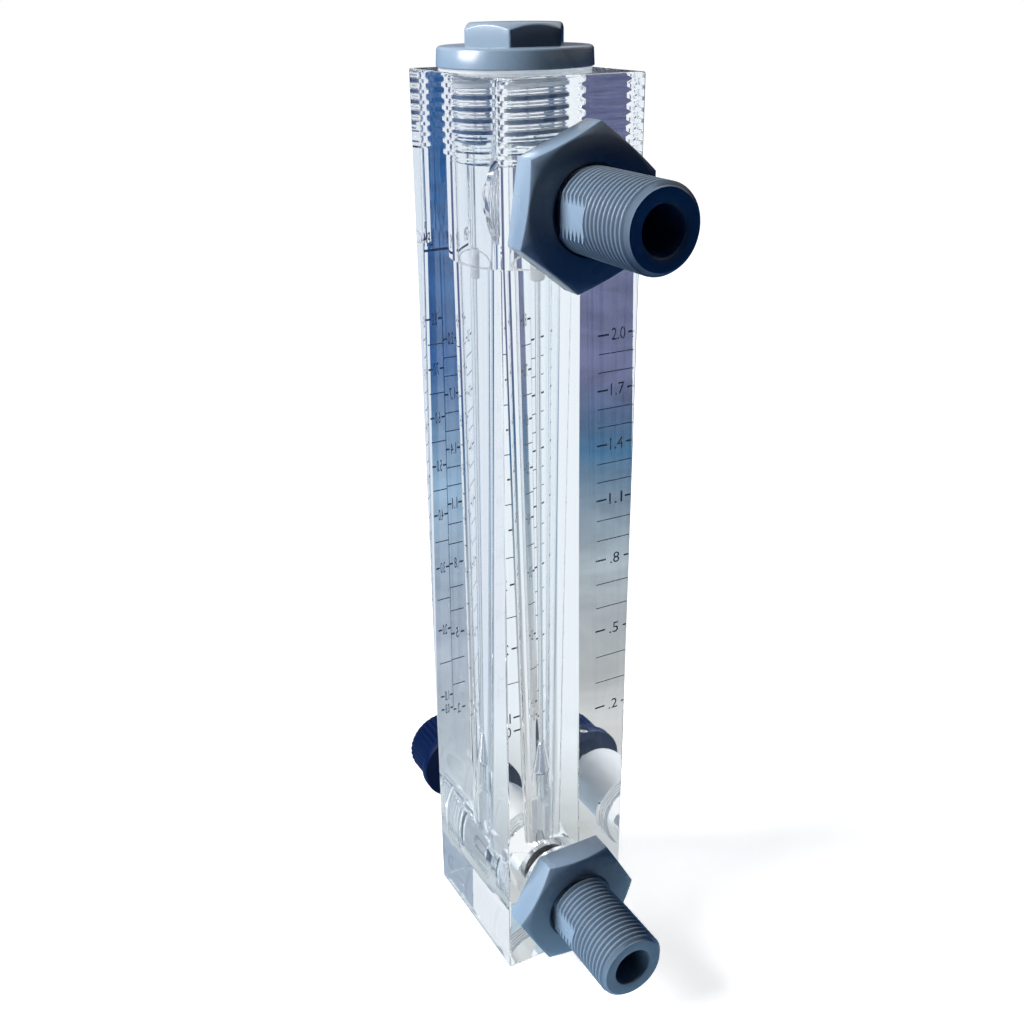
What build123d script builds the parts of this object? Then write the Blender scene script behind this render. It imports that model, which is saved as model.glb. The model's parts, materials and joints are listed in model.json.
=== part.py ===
from build123d import *
import os

# A panel rotameter: a clear block with a tapered bore, a float on a guide rod,
# two threaded pipe connections at the rear and a needle valve with a knob in front.
# Millimetres. The origin is the middle of the block's bottom face, +Z is up,
# the scale and the knob face -Y and the pipe connections point along +Y.

# Clear block
block_width = 32.0
block_depth = 38.5
block_height = 210.0
block_edge_break = 0.3

# Pipe connections: the lower one is the inlet, whose axis the valve shares, and the outlet is near the top
inlet_height = 18.5
outlet_drop = 23.5
port_depth = 11.5

# Upright bore: its axis lies nearer the front than the block's middle
bore_setback = 3.2
bore_bottom_radius = 5.0
bore_bottom_height = 29.0
bore_top_radius = 7.85
chamber_radius = 9.4
chamber_floor_depth = 37.2

# Top plug and its tapped hole
plug_thread_radius = 10.3
plug_tap_depth = 17.0
plug_shank_length = 11.5
plug_nose_radius = 7.6
plug_nose_length = 2.0
plug_flange_radius = 15.8
plug_flange_taper = 0.6
plug_flange_height = 3.8
plug_hex_flats = 18.7
plug_hex_height = 4.2
plug_hex_turn = 55.7
plug_gasket_height = 0.6
plug_gasket_width = 4.6

# Guide rod, float and float stops
rod_radius = 1.0
rod_end_chamfer = 0.25
rod_socket_depth = 4.0
float_bottom_height = 38.0
float_body_radius = 2.55
float_body_length = 7.6
float_rim_radius = 3.85
float_rim_height = 0.5
float_undercut_height = 1.2
float_cone_height = 6.3
float_nose_radius = 1.45
upper_stop_radius = 2.6
upper_stop_height = 6.0
upper_stop_drop = 3.9
lower_stop_height = 9.2
lower_stop_hub_radius = 2.4
lower_stop_rib_width = 1.3
lower_stop_bar_count = 2

# Threaded nipples, lock nuts, washers and end seals: a 3/8 inch parallel pipe thread
pipe_thread_radius = 8.33
pipe_bore_radius = 4.5
nipple_reach = 30.0
nipple_end_chamfer = 1.0
nipple_mouth_chamfer = 0.6
wrench_flat_distance = 7.2
wrench_flat_start = 4.0
wrench_flat_end = 16.4
seated_thread_radius = 8.15
pipe_thread_pitch = 1.337
pipe_thread_depth = 0.8
pipe_thread_groove_width = 0.89
nut_flats = 28.0
nut_height = 6.2
nut_corner_cut = 1.2
outlet_nut_turn = -38.0
inlet_nut_turn = 0.0
washer_height = 0.8
washer_radius = 13.4
end_seal_height = 1.5
end_seal_bore_radius = 5.0
port_ledge_bore_radius = 5.5

# Needle valve
seat_bore_radius = 3.5
seat_wall = 4.75
seat_chamfer = 0.5
bonnet_thread_radius = 10.0
bonnet_thread_length = 7.0
bonnet_nose_length = 3.2
bonnet_neck_radius = 8.6
bonnet_neck_length = 13.5
bonnet_dome_length = 4.0
bonnet_spigot_radius = 4.8
bonnet_shoulder_width = 1.0
bonnet_spigot_length = 1.5
bonnet_flat_distance = 7.9
bonnet_flat_length = 6.0
gland_nut_flats = 12.4
gland_nut_height = 2.7
gland_nut_end_wall = 0.6
knob_thread_pitch = 1.0
knob_turns = 4
stem_piston_radius = 4.0
stem_piston_length = 5.0
stem_thread_radius = 3.5
stem_shaft_radius = 3.0
stem_wet_radius = 3.2
stem_disc_radius = 6.2
stem_disc_height = 2.2
needle_base_radius = 3.3
needle_tip_radius = 1.6
needle_length = 3.4
tip_seal_height = 1.2
tip_seal_radius = 6.0
tip_seal_hub_radius = 2.9
stem_flat_distance = 2.4
bonnet_oring_section = 0.62
stem_oring_section = 0.55
stem_groove_width = 1.5
stem_groove_spacing = 2.4

# Knob
knob_gap = 0.4
knob_collar_radius = 10.8
knob_collar_height = 3.0
knob_grip_radius = 9.8
knob_grip_height = 10.3
knob_front_radius = 0.9
knob_dish_radius = 7.4
knob_dish_depth = 0.6
knob_front_wall = 2.4
knob_groove_count = 36
knob_groove_depth = 0.5
grub_screw_radius = 1.25
grub_screw_setback = 0.5

# Clearances
thread_fit = 0.1
running_fit = 0.05
float_fit = 0.1
rod_fit = 0.05
seat_gap = 0.3
face_gap = 0.05
edge_chamfer = 0.4

# Places that follow from the sizes
rear_y = block_depth / 2
front_y = -block_depth / 2
bore_y = -bore_setback
outlet_height = block_height - outlet_drop
port_floor_y = rear_y - port_depth
seat_y = port_floor_y - seat_wall
chamber_floor = block_height - chamber_floor_depth
bore_axis = Axis((0, bore_y, 0), (0, 0, 1))
bore_plane = Plane(origin=(0, bore_y, 0), x_dir=(1, 0, 0), z_dir=(0, -1, 0))
valve_axis = Axis((0, 0, inlet_height), (0, 1, 0))
valve_plane = Plane(origin=(0, 0, inlet_height), x_dir=(0, 1, 0), z_dir=(1, 0, 0))


def bore_radius_at(height):
    """Radius of the tapered metering bore at a height above the block's bottom face."""
    slope = (bore_top_radius - bore_bottom_radius) / (chamber_floor - bore_bottom_height)
    return bore_bottom_radius + slope * (height - bore_bottom_height)


def hexagon_plane(origin, normal, turn):
    """A plane across an axis, turned about it so that a corner of its hexagon points the right way."""
    x_direction = Vector(1, 0, 0).rotate(Axis((0, 0, 0), normal), turn)
    return Plane(origin=origin, x_dir=x_direction, z_dir=normal)


os.makedirs("parts", exist_ok=True)

# Flow block: machined from one bar, polished, with every passage cut into it
with BuildPart() as flow_block:
    with BuildSketch(Plane.XY):
        Rectangle(block_width, block_depth)
    extrude(amount=block_height)
    chamfer(flow_block.edges(), block_edge_break)
    # Tapped mouth, chamber and tapered metering bore on one upright axis
    tap_floor = block_height - plug_tap_depth
    with BuildSketch(bore_plane):
        with BuildLine():
            Polyline(
                (0, inlet_height),
                (bore_radius_at(inlet_height), inlet_height),
                (bore_top_radius, chamber_floor),
                (chamber_radius, chamber_floor),
                (chamber_radius, tap_floor),
                (plug_thread_radius + thread_fit, tap_floor + plug_thread_radius - chamber_radius),
                (plug_thread_radius + thread_fit, block_height - edge_chamfer),
                (plug_thread_radius + thread_fit + edge_chamfer, block_height),
                (0, block_height),
                close=True,
            )
        make_face()
    revolve(axis=bore_axis, mode=Mode.SUBTRACT)
    # Valve cavity from the front, seat wall with its orifice, and the inlet port behind it
    bonnet_seat_y = front_y + bonnet_thread_length
    port_radius = seated_thread_radius + thread_fit
    with BuildSketch(valve_plane):
        with BuildLine():
            Polyline(
                (front_y, 0),
                (front_y, bonnet_thread_radius + thread_fit + edge_chamfer),
                (front_y + edge_chamfer, bonnet_thread_radius + thread_fit),
                (bonnet_seat_y, bonnet_thread_radius + thread_fit),
                (bonnet_seat_y, chamber_radius),
                (seat_y, chamber_radius),
                (seat_y, seat_bore_radius + seat_chamfer),
                (seat_y + seat_chamfer, seat_bore_radius),
                (port_floor_y, seat_bore_radius),
                (port_floor_y, port_radius),
                (rear_y - edge_chamfer, port_radius),
                (rear_y, port_radius + edge_chamfer),
                (rear_y, 0),
                close=True,
            )
        make_face()
    revolve(axis=valve_axis, mode=Mode.SUBTRACT)
    # Outlet port, through its ledge into the chamber
    with BuildSketch(Plane(origin=(0, 0, outlet_height), x_dir=(0, 1, 0), z_dir=(1, 0, 0))):
        with BuildLine():
            Polyline(
                (bore_y, 0),
                (bore_y, port_ledge_bore_radius),
                (port_floor_y, port_ledge_bore_radius),
                (port_floor_y, port_radius),
                (rear_y - edge_chamfer, port_radius),
                (rear_y, port_radius + edge_chamfer),
                (rear_y, 0),
                close=True,
            )
        make_face()
    revolve(axis=Axis((0, 0, outlet_height), (0, 1, 0)), mode=Mode.SUBTRACT)
flow_block.part.label = "flow_block"
export_step(flow_block.part, "parts/flow_block.step")

# Top plug: flange and hexagon head above the block, threaded shank below with the rod's socket
flange_floor = block_height + plug_gasket_height
flange_top = flange_floor + plug_flange_height
head_top = flange_top + plug_hex_height
shank_bottom = block_height - plug_shank_length
nose_bottom = shank_bottom - plug_nose_length
head_corner_radius = plug_hex_flats / 3**0.5
with BuildPart() as top_plug:
    with BuildSketch(hexagon_plane((0, bore_y, flange_top), (0, 0, 1), plug_hex_turn)):
        RegularPolygon(plug_hex_flats / 2, 6, major_radius=False)
    extrude(amount=plug_hex_height)
    # The turned cone that rounds off the head's upper corners
    with BuildSketch(bore_plane):
        with BuildLine():
            Polyline(
                (0, flange_top),
                (head_corner_radius + thread_fit, flange_top),
                (head_corner_radius + thread_fit, head_top - nut_corner_cut),
                (plug_hex_flats / 2 - edge_chamfer, head_top),
                (0, head_top),
                close=True,
            )
        make_face()
    revolve(axis=bore_axis, mode=Mode.INTERSECT)
    with BuildSketch(bore_plane):
        with BuildLine():
            Polyline(
                (0, nose_bottom + rod_socket_depth),
                (rod_radius + rod_fit, nose_bottom + rod_socket_depth),
                (rod_radius + rod_fit, nose_bottom),
                (plug_nose_radius, nose_bottom),
                (plug_nose_radius, shank_bottom),
                (plug_thread_radius - edge_chamfer, shank_bottom),
                (plug_thread_radius, shank_bottom + edge_chamfer),
                (plug_thread_radius, flange_floor),
                (plug_flange_radius, flange_floor),
                (plug_flange_radius - plug_flange_taper / 2, flange_top - plug_flange_taper / 2),
                (plug_flange_radius - plug_flange_taper, flange_top),
                (0, flange_top),
                close=True,
            )
        make_face()
    revolve(axis=bore_axis)
top_plug.part.label = "top_plug"
export_step(top_plug.part, "parts/top_plug.step")

# Gasket: a flat ring between the flange and the block's top face
with BuildPart() as top_plug_gasket:
    with BuildSketch(Plane.XY.offset(block_height)):
        with Locations((0, bore_y)):
            Circle(plug_thread_radius + edge_chamfer + plug_gasket_width)
            Circle(plug_thread_radius + edge_chamfer, mode=Mode.SUBTRACT)
    extrude(amount=plug_gasket_height)
top_plug_gasket.part.label = "top_plug_gasket"
export_step(top_plug_gasket.part, "parts/top_plug_gasket.step")

# Guide rod: from its socket in the lower stop to its socket in the plug
lower_stop_top = float_bottom_height - seat_gap
rod_bottom = lower_stop_top - rod_socket_depth + face_gap
rod_top = nose_bottom + rod_socket_depth - face_gap
with BuildPart() as guide_rod:
    with BuildSketch(Plane.XY.offset(rod_bottom)):
        with Locations((0, bore_y)):
            Circle(rod_radius)
    extrude(amount=rod_top - rod_bottom)
    chamfer(guide_rod.edges().filter_by(GeomType.CIRCLE), rod_end_chamfer)
guide_rod.part.label = "guide_rod"
export_step(guide_rod.part, "parts/guide_rod.step")

# Float: a turned cone whose rim is read against the scale, with a slimmer body below
rim_bottom = float_bottom_height + float_body_length + float_undercut_height
rim_top = rim_bottom + float_rim_height
float_top = rim_top + float_cone_height
with BuildPart() as float_body:
    with BuildSketch(bore_plane):
        with BuildLine():
            Polyline(
                (rod_radius + float_fit, float_bottom_height),
                (float_body_radius - edge_chamfer, float_bottom_height),
                (float_body_radius, float_bottom_height + edge_chamfer),
                (float_body_radius, float_bottom_height + float_body_length),
                (float_rim_radius, rim_bottom),
                (float_rim_radius, rim_top),
                (float_nose_radius, float_top),
                (rod_radius + float_fit, float_top),
                close=True,
            )
        make_face()
    revolve(axis=bore_axis)
float_body.part.label = "float"
export_step(float_body.part, "parts/float.step")

# Upper float stop: a sleeve fixed on the guide rod above the scale
upper_stop_bottom = chamber_floor - upper_stop_drop
with BuildPart() as upper_float_stop:
    with BuildSketch(Plane.XY.offset(upper_stop_bottom)):
        with Locations((0, bore_y)):
            Circle(upper_stop_radius)
            Circle(rod_radius + rod_fit, mode=Mode.SUBTRACT)
    extrude(amount=upper_stop_height)
    chamfer(upper_float_stop.edges().filter_by(GeomType.CIRCLE).group_by(SortBy.RADIUS)[-1], edge_chamfer)
upper_float_stop.part.label = "upper_float_stop"
export_step(upper_float_stop.part, "parts/upper_float_stop.step")

# Lower float stop: a ribbed hub wedged in the bore's narrow end, with water ways between its ribs
lower_stop_bottom = lower_stop_top - lower_stop_height
with BuildPart() as lower_float_stop:
    with BuildSketch(Plane.XY.offset(lower_stop_bottom)):
        with Locations((0, bore_y)):
            Circle(lower_stop_hub_radius)
            with PolarLocations(0, lower_stop_bar_count, angular_range=180):
                Rectangle(2 * bore_top_radius, lower_stop_rib_width)
    extrude(amount=lower_stop_height)
    with BuildSketch(bore_plane):
        with BuildLine():
            Polyline(
                (0, lower_stop_bottom),
                (bore_radius_at(lower_stop_bottom) - rod_fit, lower_stop_bottom),
                (bore_radius_at(lower_stop_top) - rod_fit, lower_stop_top),
                (0, lower_stop_top),
                close=True,
            )
        make_face()
    revolve(axis=bore_axis, mode=Mode.INTERSECT)
    with BuildSketch(Plane.XY.offset(lower_stop_top)):
        with Locations((0, bore_y)):
            Circle(rod_radius + rod_fit)
    extrude(amount=-rod_socket_depth, mode=Mode.SUBTRACT)
lower_float_stop.part.label = "lower_float_stop"
export_step(lower_float_stop.part, "parts/lower_float_stop.step")

# Pipe connections: nipple, lock nut, washer and end seal, the same at the outlet and the inlet
washer_outer_y = rear_y + washer_height
nut_outer_y = washer_outer_y + face_gap + nut_height
nipple_inner_y = port_floor_y + end_seal_height + face_gap
nipple_outer_y = rear_y + nipple_reach
waist_start_y = rear_y + wrench_flat_start
waist_end_y = rear_y + wrench_flat_end
nut_corner_radius = nut_flats / 3**0.5
open_turns = int((nipple_outer_y - nipple_end_chamfer - waist_end_y) / pipe_thread_pitch)
groove_half_width = pipe_thread_groove_width / 2
connections = (
    ("outlet", outlet_height, outlet_nut_turn),
    ("inlet", inlet_height, inlet_nut_turn),
)
for side, height, nut_turn in connections:
    port_axis = Axis((0, 0, height), (0, 1, 0))
    port_plane = Plane(origin=(0, 0, height), x_dir=(0, 1, 0), z_dir=(1, 0, 0))

    # Nipple: a pipe thread from end to end, with a pair of wrench flats and a through bore.
    # From the block to the flats' end it is drawn a little under its crests
    with BuildPart() as nipple:
        with BuildSketch(port_plane):
            with BuildLine():
                Polyline(
                    (nipple_inner_y, pipe_bore_radius),
                    (nipple_inner_y, seated_thread_radius - edge_chamfer),
                    (nipple_inner_y + edge_chamfer, seated_thread_radius),
                    (waist_end_y, seated_thread_radius),
                    (waist_end_y, pipe_thread_radius),
                    (nipple_outer_y - nipple_end_chamfer, pipe_thread_radius),
                    (nipple_outer_y, pipe_thread_radius - nipple_end_chamfer),
                    (nipple_outer_y, pipe_bore_radius + nipple_mouth_chamfer),
                    (nipple_outer_y - nipple_mouth_chamfer, pipe_bore_radius),
                    close=True,
                )
            make_face()
        revolve(axis=port_axis)
        # The turns that a pipe screws on, each a plain ring groove
        with BuildSketch(port_plane):
            for turn in range(open_turns):
                with Locations((waist_end_y + (turn + 0.5) * pipe_thread_pitch, pipe_thread_radius)):
                    Polygon(
                        (-groove_half_width, edge_chamfer),
                        (-groove_half_width, 0),
                        (0, -pipe_thread_depth),
                        (groove_half_width, 0),
                        (groove_half_width, edge_chamfer),
                        align=None,
                    )
        revolve(axis=port_axis, mode=Mode.SUBTRACT)
        flat_width = pipe_thread_radius - wrench_flat_distance
        flat_centre = wrench_flat_distance + flat_width / 2
        with BuildSketch(Plane(origin=(0, waist_start_y, height), x_dir=(1, 0, 0), z_dir=(0, 1, 0))):
            with Locations((flat_centre, 0), (-flat_centre, 0)):
                Rectangle(flat_width, 2 * pipe_thread_radius)
        extrude(amount=waist_end_y - waist_start_y, mode=Mode.SUBTRACT)
    nipple.part.label = f"{side}_nipple"
    export_step(nipple.part, f"parts/{side}_nipple.step")

    # Lock nut: a hexagon with its outer corners turned off to a cone
    with BuildPart() as lock_nut:
        with BuildSketch(hexagon_plane((0, washer_outer_y + face_gap, height), (0, 1, 0), nut_turn)):
            RegularPolygon(nut_flats / 2, 6, major_radius=False)
        extrude(amount=nut_height)
        with BuildSketch(port_plane):
            with BuildLine():
                Polyline(
                    (washer_outer_y, seated_thread_radius + thread_fit),
                    (washer_outer_y, nut_corner_radius + thread_fit),
                    (nut_outer_y - nut_corner_cut, nut_corner_radius + thread_fit),
                    (nut_outer_y, nut_flats / 2 - edge_chamfer),
                    (nut_outer_y, seated_thread_radius + thread_fit + edge_chamfer),
                    (nut_outer_y - edge_chamfer, seated_thread_radius + thread_fit),
                    close=True,
                )
            make_face()
        revolve(axis=port_axis, mode=Mode.INTERSECT)
    lock_nut.part.label = f"{side}_nut"
    export_step(lock_nut.part, f"parts/{side}_nut.step")

    # Washer: a soft flat ring between the nut and the block
    with BuildPart() as washer:
        with BuildSketch(Plane(origin=(0, rear_y, height), x_dir=(1, 0, 0), z_dir=(0, 1, 0))):
            Circle(washer_radius)
            Circle(seated_thread_radius + thread_fit + edge_chamfer, mode=Mode.SUBTRACT)
        extrude(amount=washer_height)
    washer.part.label = f"{side}_washer"
    export_step(washer.part, f"parts/{side}_washer.step")

    # End seal: a ring between the nipple's inner end and the ledge at the port's floor
    with BuildPart() as end_seal:
        with BuildSketch(Plane(origin=(0, port_floor_y, height), x_dir=(1, 0, 0), z_dir=(0, 1, 0))):
            Circle(seated_thread_radius - edge_chamfer)
            Circle(end_seal_bore_radius, mode=Mode.SUBTRACT)
        extrude(amount=end_seal_height)
    end_seal.part.label = f"{side}_end_seal"
    export_step(end_seal.part, f"parts/{side}_end_seal.step")

# Valve bonnet: threaded into the cavity, sealed at its nose, with a domed neck outside
bonnet_inner_y = bonnet_seat_y + bonnet_nose_length
bonnet_nose_radius = chamber_radius - thread_fit
dome_start_y = front_y - bonnet_neck_length
dome_end_y = dome_start_y - bonnet_dome_length
spigot_end_y = dome_end_y - bonnet_spigot_length
bonnet_groove_middle_y = bonnet_seat_y + bonnet_nose_length / 2
bonnet_groove_radius = chamber_radius - 2 * bonnet_oring_section - 2 * face_gap
bonnet_groove_half = bonnet_oring_section + face_gap
valve_travel = knob_thread_pitch * knob_turns
piston_start_y = bonnet_inner_y - valve_travel / 2
piston_end_y = piston_start_y - stem_piston_length
piston_step_y = piston_end_y - valve_travel - seat_gap
with BuildPart() as valve_bonnet:
    with BuildSketch(valve_plane):
        with BuildLine():
            Polyline(
                (bonnet_inner_y, stem_piston_radius + running_fit),
                (bonnet_inner_y, bonnet_nose_radius),
                (bonnet_groove_middle_y + bonnet_groove_half, bonnet_nose_radius),
                (bonnet_groove_middle_y + bonnet_groove_half, bonnet_groove_radius),
                (bonnet_groove_middle_y - bonnet_groove_half, bonnet_groove_radius),
                (bonnet_groove_middle_y - bonnet_groove_half, bonnet_nose_radius),
                (bonnet_seat_y - face_gap, bonnet_nose_radius),
                (bonnet_seat_y - face_gap, bonnet_thread_radius),
                (front_y + edge_chamfer, bonnet_thread_radius),
                (front_y, bonnet_thread_radius - edge_chamfer),
                (front_y, bonnet_neck_radius),
                (dome_start_y, bonnet_neck_radius),
            )
            EllipticalCenterArc(
                (dome_start_y, bonnet_spigot_radius + bonnet_shoulder_width),
                bonnet_dome_length,
                bonnet_neck_radius - bonnet_spigot_radius - bonnet_shoulder_width,
                start_angle=90,
                arc_size=90,
            )
            Polyline(
                (dome_end_y, bonnet_spigot_radius + bonnet_shoulder_width),
                (dome_end_y, bonnet_spigot_radius),
                (spigot_end_y, bonnet_spigot_radius),
                (spigot_end_y, stem_thread_radius + running_fit),
                (piston_step_y, stem_thread_radius + running_fit),
                (piston_step_y, stem_piston_radius + running_fit),
                (bonnet_inner_y, stem_piston_radius + running_fit),
            )
        make_face()
    revolve(axis=valve_axis)
    # Two flats on the neck for a wrench
    with BuildSketch(Plane(origin=(0, dome_start_y, inlet_height), x_dir=(1, 0, 0), z_dir=(0, 1, 0))):
        cut_width = 2 * (bonnet_neck_radius - bonnet_flat_distance)
        cut_centre = bonnet_flat_distance + cut_width / 2
        with Locations((cut_centre, 0), (-cut_centre, 0)):
            Rectangle(cut_width, 2 * bonnet_neck_radius)
    extrude(amount=bonnet_flat_length, mode=Mode.SUBTRACT)
valve_bonnet.part.label = "valve_bonnet"
export_step(valve_bonnet.part, "parts/valve_bonnet.step")

# Bonnet ring: an O-ring in the groove of the bonnet's nose
with BuildPart() as bonnet_oring:
    with BuildSketch(valve_plane):
        with Locations((bonnet_groove_middle_y, chamber_radius - face_gap - bonnet_oring_section)):
            Circle(bonnet_oring_section)
    revolve(axis=valve_axis)
bonnet_oring.part.label = "bonnet_oring"
export_step(bonnet_oring.part, "parts/bonnet_oring.step")

# Gland nut: a small bright hexagon on the bonnet's spigot, over its packing
gland_start_y = dome_end_y - face_gap
gland_end_y = gland_start_y - gland_nut_height
gland_corner_radius = gland_nut_flats / 3**0.5
with BuildPart() as gland_nut:
    with BuildSketch(hexagon_plane((0, gland_end_y, inlet_height), (0, 1, 0), 0)):
        RegularPolygon(gland_nut_flats / 2, 6, major_radius=False)
    extrude(amount=gland_nut_height)
    with BuildSketch(valve_plane):
        with BuildLine():
            Polyline(
                (gland_start_y, bonnet_spigot_radius + running_fit),
                (gland_start_y, gland_corner_radius),
                (gland_end_y + edge_chamfer, gland_corner_radius),
                (gland_end_y, gland_nut_flats / 2 - edge_chamfer),
                (gland_end_y, stem_thread_radius + running_fit),
                (gland_end_y + gland_nut_end_wall, stem_thread_radius + running_fit),
                (gland_end_y + gland_nut_end_wall, bonnet_spigot_radius + running_fit),
                close=True,
            )
        make_face()
    revolve(axis=valve_axis, mode=Mode.INTERSECT)
gland_nut.part.label = "gland_nut"
export_step(gland_nut.part, "parts/gland_nut.step")

# Packing: a thin ring squeezed round the stem between the spigot and the gland nut
packing_start_y = gland_end_y + gland_nut_end_wall
with BuildPart() as gland_packing:
    with BuildSketch(Plane(origin=(0, packing_start_y, inlet_height), x_dir=(1, 0, 0), z_dir=(0, 1, 0))):
        Circle(bonnet_spigot_radius)
        Circle(stem_thread_radius + running_fit, mode=Mode.SUBTRACT)
    extrude(amount=spigot_end_y - packing_start_y)
gland_packing.part.label = "gland_packing"
export_step(gland_packing.part, "parts/gland_packing.step")

# Valve stem, shut: needle, soft ring's hub, disc, wetted shaft, piston, thread and the knob's flatted end
seal_front_y = seat_y - seat_gap
hub_end_y = seal_front_y - tip_seal_height - face_gap
disc_end_y = hub_end_y - stem_disc_height
collar_start_y = gland_end_y - knob_gap
collar_end_y = collar_start_y - knob_collar_height
grip_end_y = collar_end_y - knob_grip_height
shaft_end_y = grip_end_y + knob_front_wall + face_gap
thread_end_y = collar_start_y + face_gap
groove_half = stem_groove_width / 2
piston_middle_y = (piston_start_y + piston_end_y) / 2
groove_floor = stem_piston_radius + running_fit - 2 * (stem_oring_section + face_gap / 2)
groove_middles = (
    piston_middle_y + stem_groove_spacing / 2,
    piston_middle_y - stem_groove_spacing / 2,
)
with BuildPart() as valve_stem:
    with BuildSketch(valve_plane):
        with BuildLine():
            Polyline(
                (seat_y + needle_length, 0),
                (seat_y + needle_length, needle_tip_radius),
                (seal_front_y + face_gap, needle_base_radius),
                (seal_front_y + face_gap, tip_seal_hub_radius),
                (hub_end_y, tip_seal_hub_radius),
                (hub_end_y, stem_disc_radius),
                (disc_end_y, stem_disc_radius),
                (disc_end_y, stem_wet_radius),
                (piston_start_y, stem_wet_radius),
                (piston_start_y, stem_piston_radius),
                (piston_end_y, stem_piston_radius),
                (piston_end_y, stem_thread_radius),
                (thread_end_y, stem_thread_radius),
                (thread_end_y, stem_shaft_radius),
                (shaft_end_y, stem_shaft_radius),
                (shaft_end_y, 0),
                close=True,
            )
        make_face()
        for middle in groove_middles:
            with Locations((middle, groove_floor + stem_piston_radius / 2)):
                Rectangle(2 * groove_half, stem_piston_radius, mode=Mode.SUBTRACT)
    revolve(axis=valve_axis)
    # Flat for the grub screw, on the stem's top side
    shaft_plane = Plane(origin=(0, shaft_end_y, inlet_height), x_dir=(1, 0, 0), z_dir=(0, -1, 0))
    with BuildSketch(shaft_plane):
        with Locations((0, stem_flat_distance + stem_shaft_radius)):
            Rectangle(2 * stem_shaft_radius, 2 * stem_shaft_radius)
    extrude(amount=shaft_end_y - collar_start_y - face_gap, mode=Mode.SUBTRACT)
valve_stem.part.label = "valve_stem"
export_step(valve_stem.part, "parts/valve_stem.step")

# Stem rings: two O-rings in the piston's grooves
with BuildPart() as stem_orings:
    with BuildSketch(valve_plane):
        for middle in groove_middles:
            with Locations((middle, stem_piston_radius + running_fit / 2 - stem_oring_section)):
                Circle(stem_oring_section)
    revolve(axis=valve_axis)
stem_orings.part.label = "stem_orings"
export_step(stem_orings.part, "parts/stem_orings.step")

# Tip seal: the soft ring behind the needle that shuts on the seat
with BuildPart() as tip_seal:
    with BuildSketch(valve_plane):
        with BuildLine():
            Polyline(
                (seal_front_y, tip_seal_hub_radius + running_fit),
                (seal_front_y, tip_seal_radius - edge_chamfer),
                (seal_front_y - edge_chamfer, tip_seal_radius),
                (seal_front_y - tip_seal_height, tip_seal_radius),
                (seal_front_y - tip_seal_height, tip_seal_hub_radius + running_fit),
                close=True,
            )
        make_face()
    revolve(axis=valve_axis)
tip_seal.part.label = "tip_seal"
export_step(tip_seal.part, "parts/tip_seal.step")

# Knob: collar, fluted grip, dished front face, flatted bore and a tapped hole for the grub screw
collar_middle_y = collar_start_y - knob_collar_height / 2
with BuildPart() as valve_knob:
    with BuildSketch(valve_plane):
        with BuildLine():
            Polyline(
                (collar_start_y, 0),
                (collar_start_y, knob_collar_radius - edge_chamfer),
                (collar_start_y - edge_chamfer, knob_collar_radius),
                (collar_end_y + edge_chamfer, knob_collar_radius),
                (collar_end_y, knob_collar_radius - edge_chamfer),
                (collar_end_y, knob_grip_radius),
                (grip_end_y + knob_front_radius, knob_grip_radius),
            )
            RadiusArc(
                (grip_end_y + knob_front_radius, knob_grip_radius),
                (grip_end_y, knob_grip_radius - knob_front_radius),
                -knob_front_radius,
            )
            Polyline(
                (grip_end_y, knob_grip_radius - knob_front_radius),
                (grip_end_y, knob_dish_radius),
                (grip_end_y + knob_dish_depth, knob_dish_radius - knob_dish_depth),
                (grip_end_y + knob_dish_depth, 0),
                (collar_start_y, 0),
            )
        make_face()
    revolve(axis=valve_axis)
    # Grooves all round the grip, square in section with a corner pointing in
    with BuildSketch(Plane(origin=(0, collar_end_y, inlet_height), x_dir=(1, 0, 0), z_dir=(0, -1, 0))):
        with PolarLocations(knob_grip_radius, knob_groove_count):
            RegularPolygon(knob_groove_depth, 4)
    extrude(amount=knob_grip_height, mode=Mode.SUBTRACT)
    # Flatted bore for the stem
    with BuildSketch(Plane(origin=(0, collar_start_y, inlet_height), x_dir=(1, 0, 0), z_dir=(0, -1, 0))):
        Circle(stem_shaft_radius + running_fit)
        with Locations((0, stem_flat_distance + running_fit + stem_shaft_radius)):
            Rectangle(2 * stem_shaft_radius, 2 * stem_shaft_radius, mode=Mode.SUBTRACT)
    extrude(amount=collar_start_y - grip_end_y - knob_front_wall, mode=Mode.SUBTRACT)
    with BuildSketch(Plane(origin=(0, collar_middle_y, inlet_height), x_dir=(1, 0, 0), z_dir=(0, 0, 1))):
        Circle(grub_screw_radius + running_fit)
    extrude(amount=knob_collar_radius, mode=Mode.SUBTRACT)
valve_knob.part.label = "valve_knob"
export_step(valve_knob.part, "parts/valve_knob.step")

# Grub screw: bears on the stem's flat, with a hexagon socket in its outer end
screw_foot = inlet_height + stem_flat_distance + running_fit
screw_head = inlet_height + knob_collar_radius - grub_screw_setback
with BuildPart() as knob_grub_screw:
    with BuildSketch(Plane.XY.offset(screw_foot)):
        with Locations((0, collar_middle_y)):
            Circle(grub_screw_radius)
    extrude(amount=screw_head - screw_foot)
    with BuildSketch(Plane.XY.offset(screw_head)):
        with Locations((0, collar_middle_y)):
            RegularPolygon(grub_screw_radius / 2, 6, major_radius=False)
    extrude(amount=-grub_screw_radius, mode=Mode.SUBTRACT)
knob_grub_screw.part.label = "knob_grub_screw"
export_step(knob_grub_screw.part, "parts/knob_grub_screw.step")
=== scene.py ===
# %% [markdown]
# A panel rotameter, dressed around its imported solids. The frame gives the real sizes, the places and the
# moving bodies, so every piece is built in metres, straight onto them, and nothing is fitted afterwards.
# The block is clear, so most of the picture is refraction, and what lies inside the block is modelled as
# carefully as what lies outside it.

# %% Load the frame
import json
import math

import bpy
from mathutils import Matrix, Vector

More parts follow.
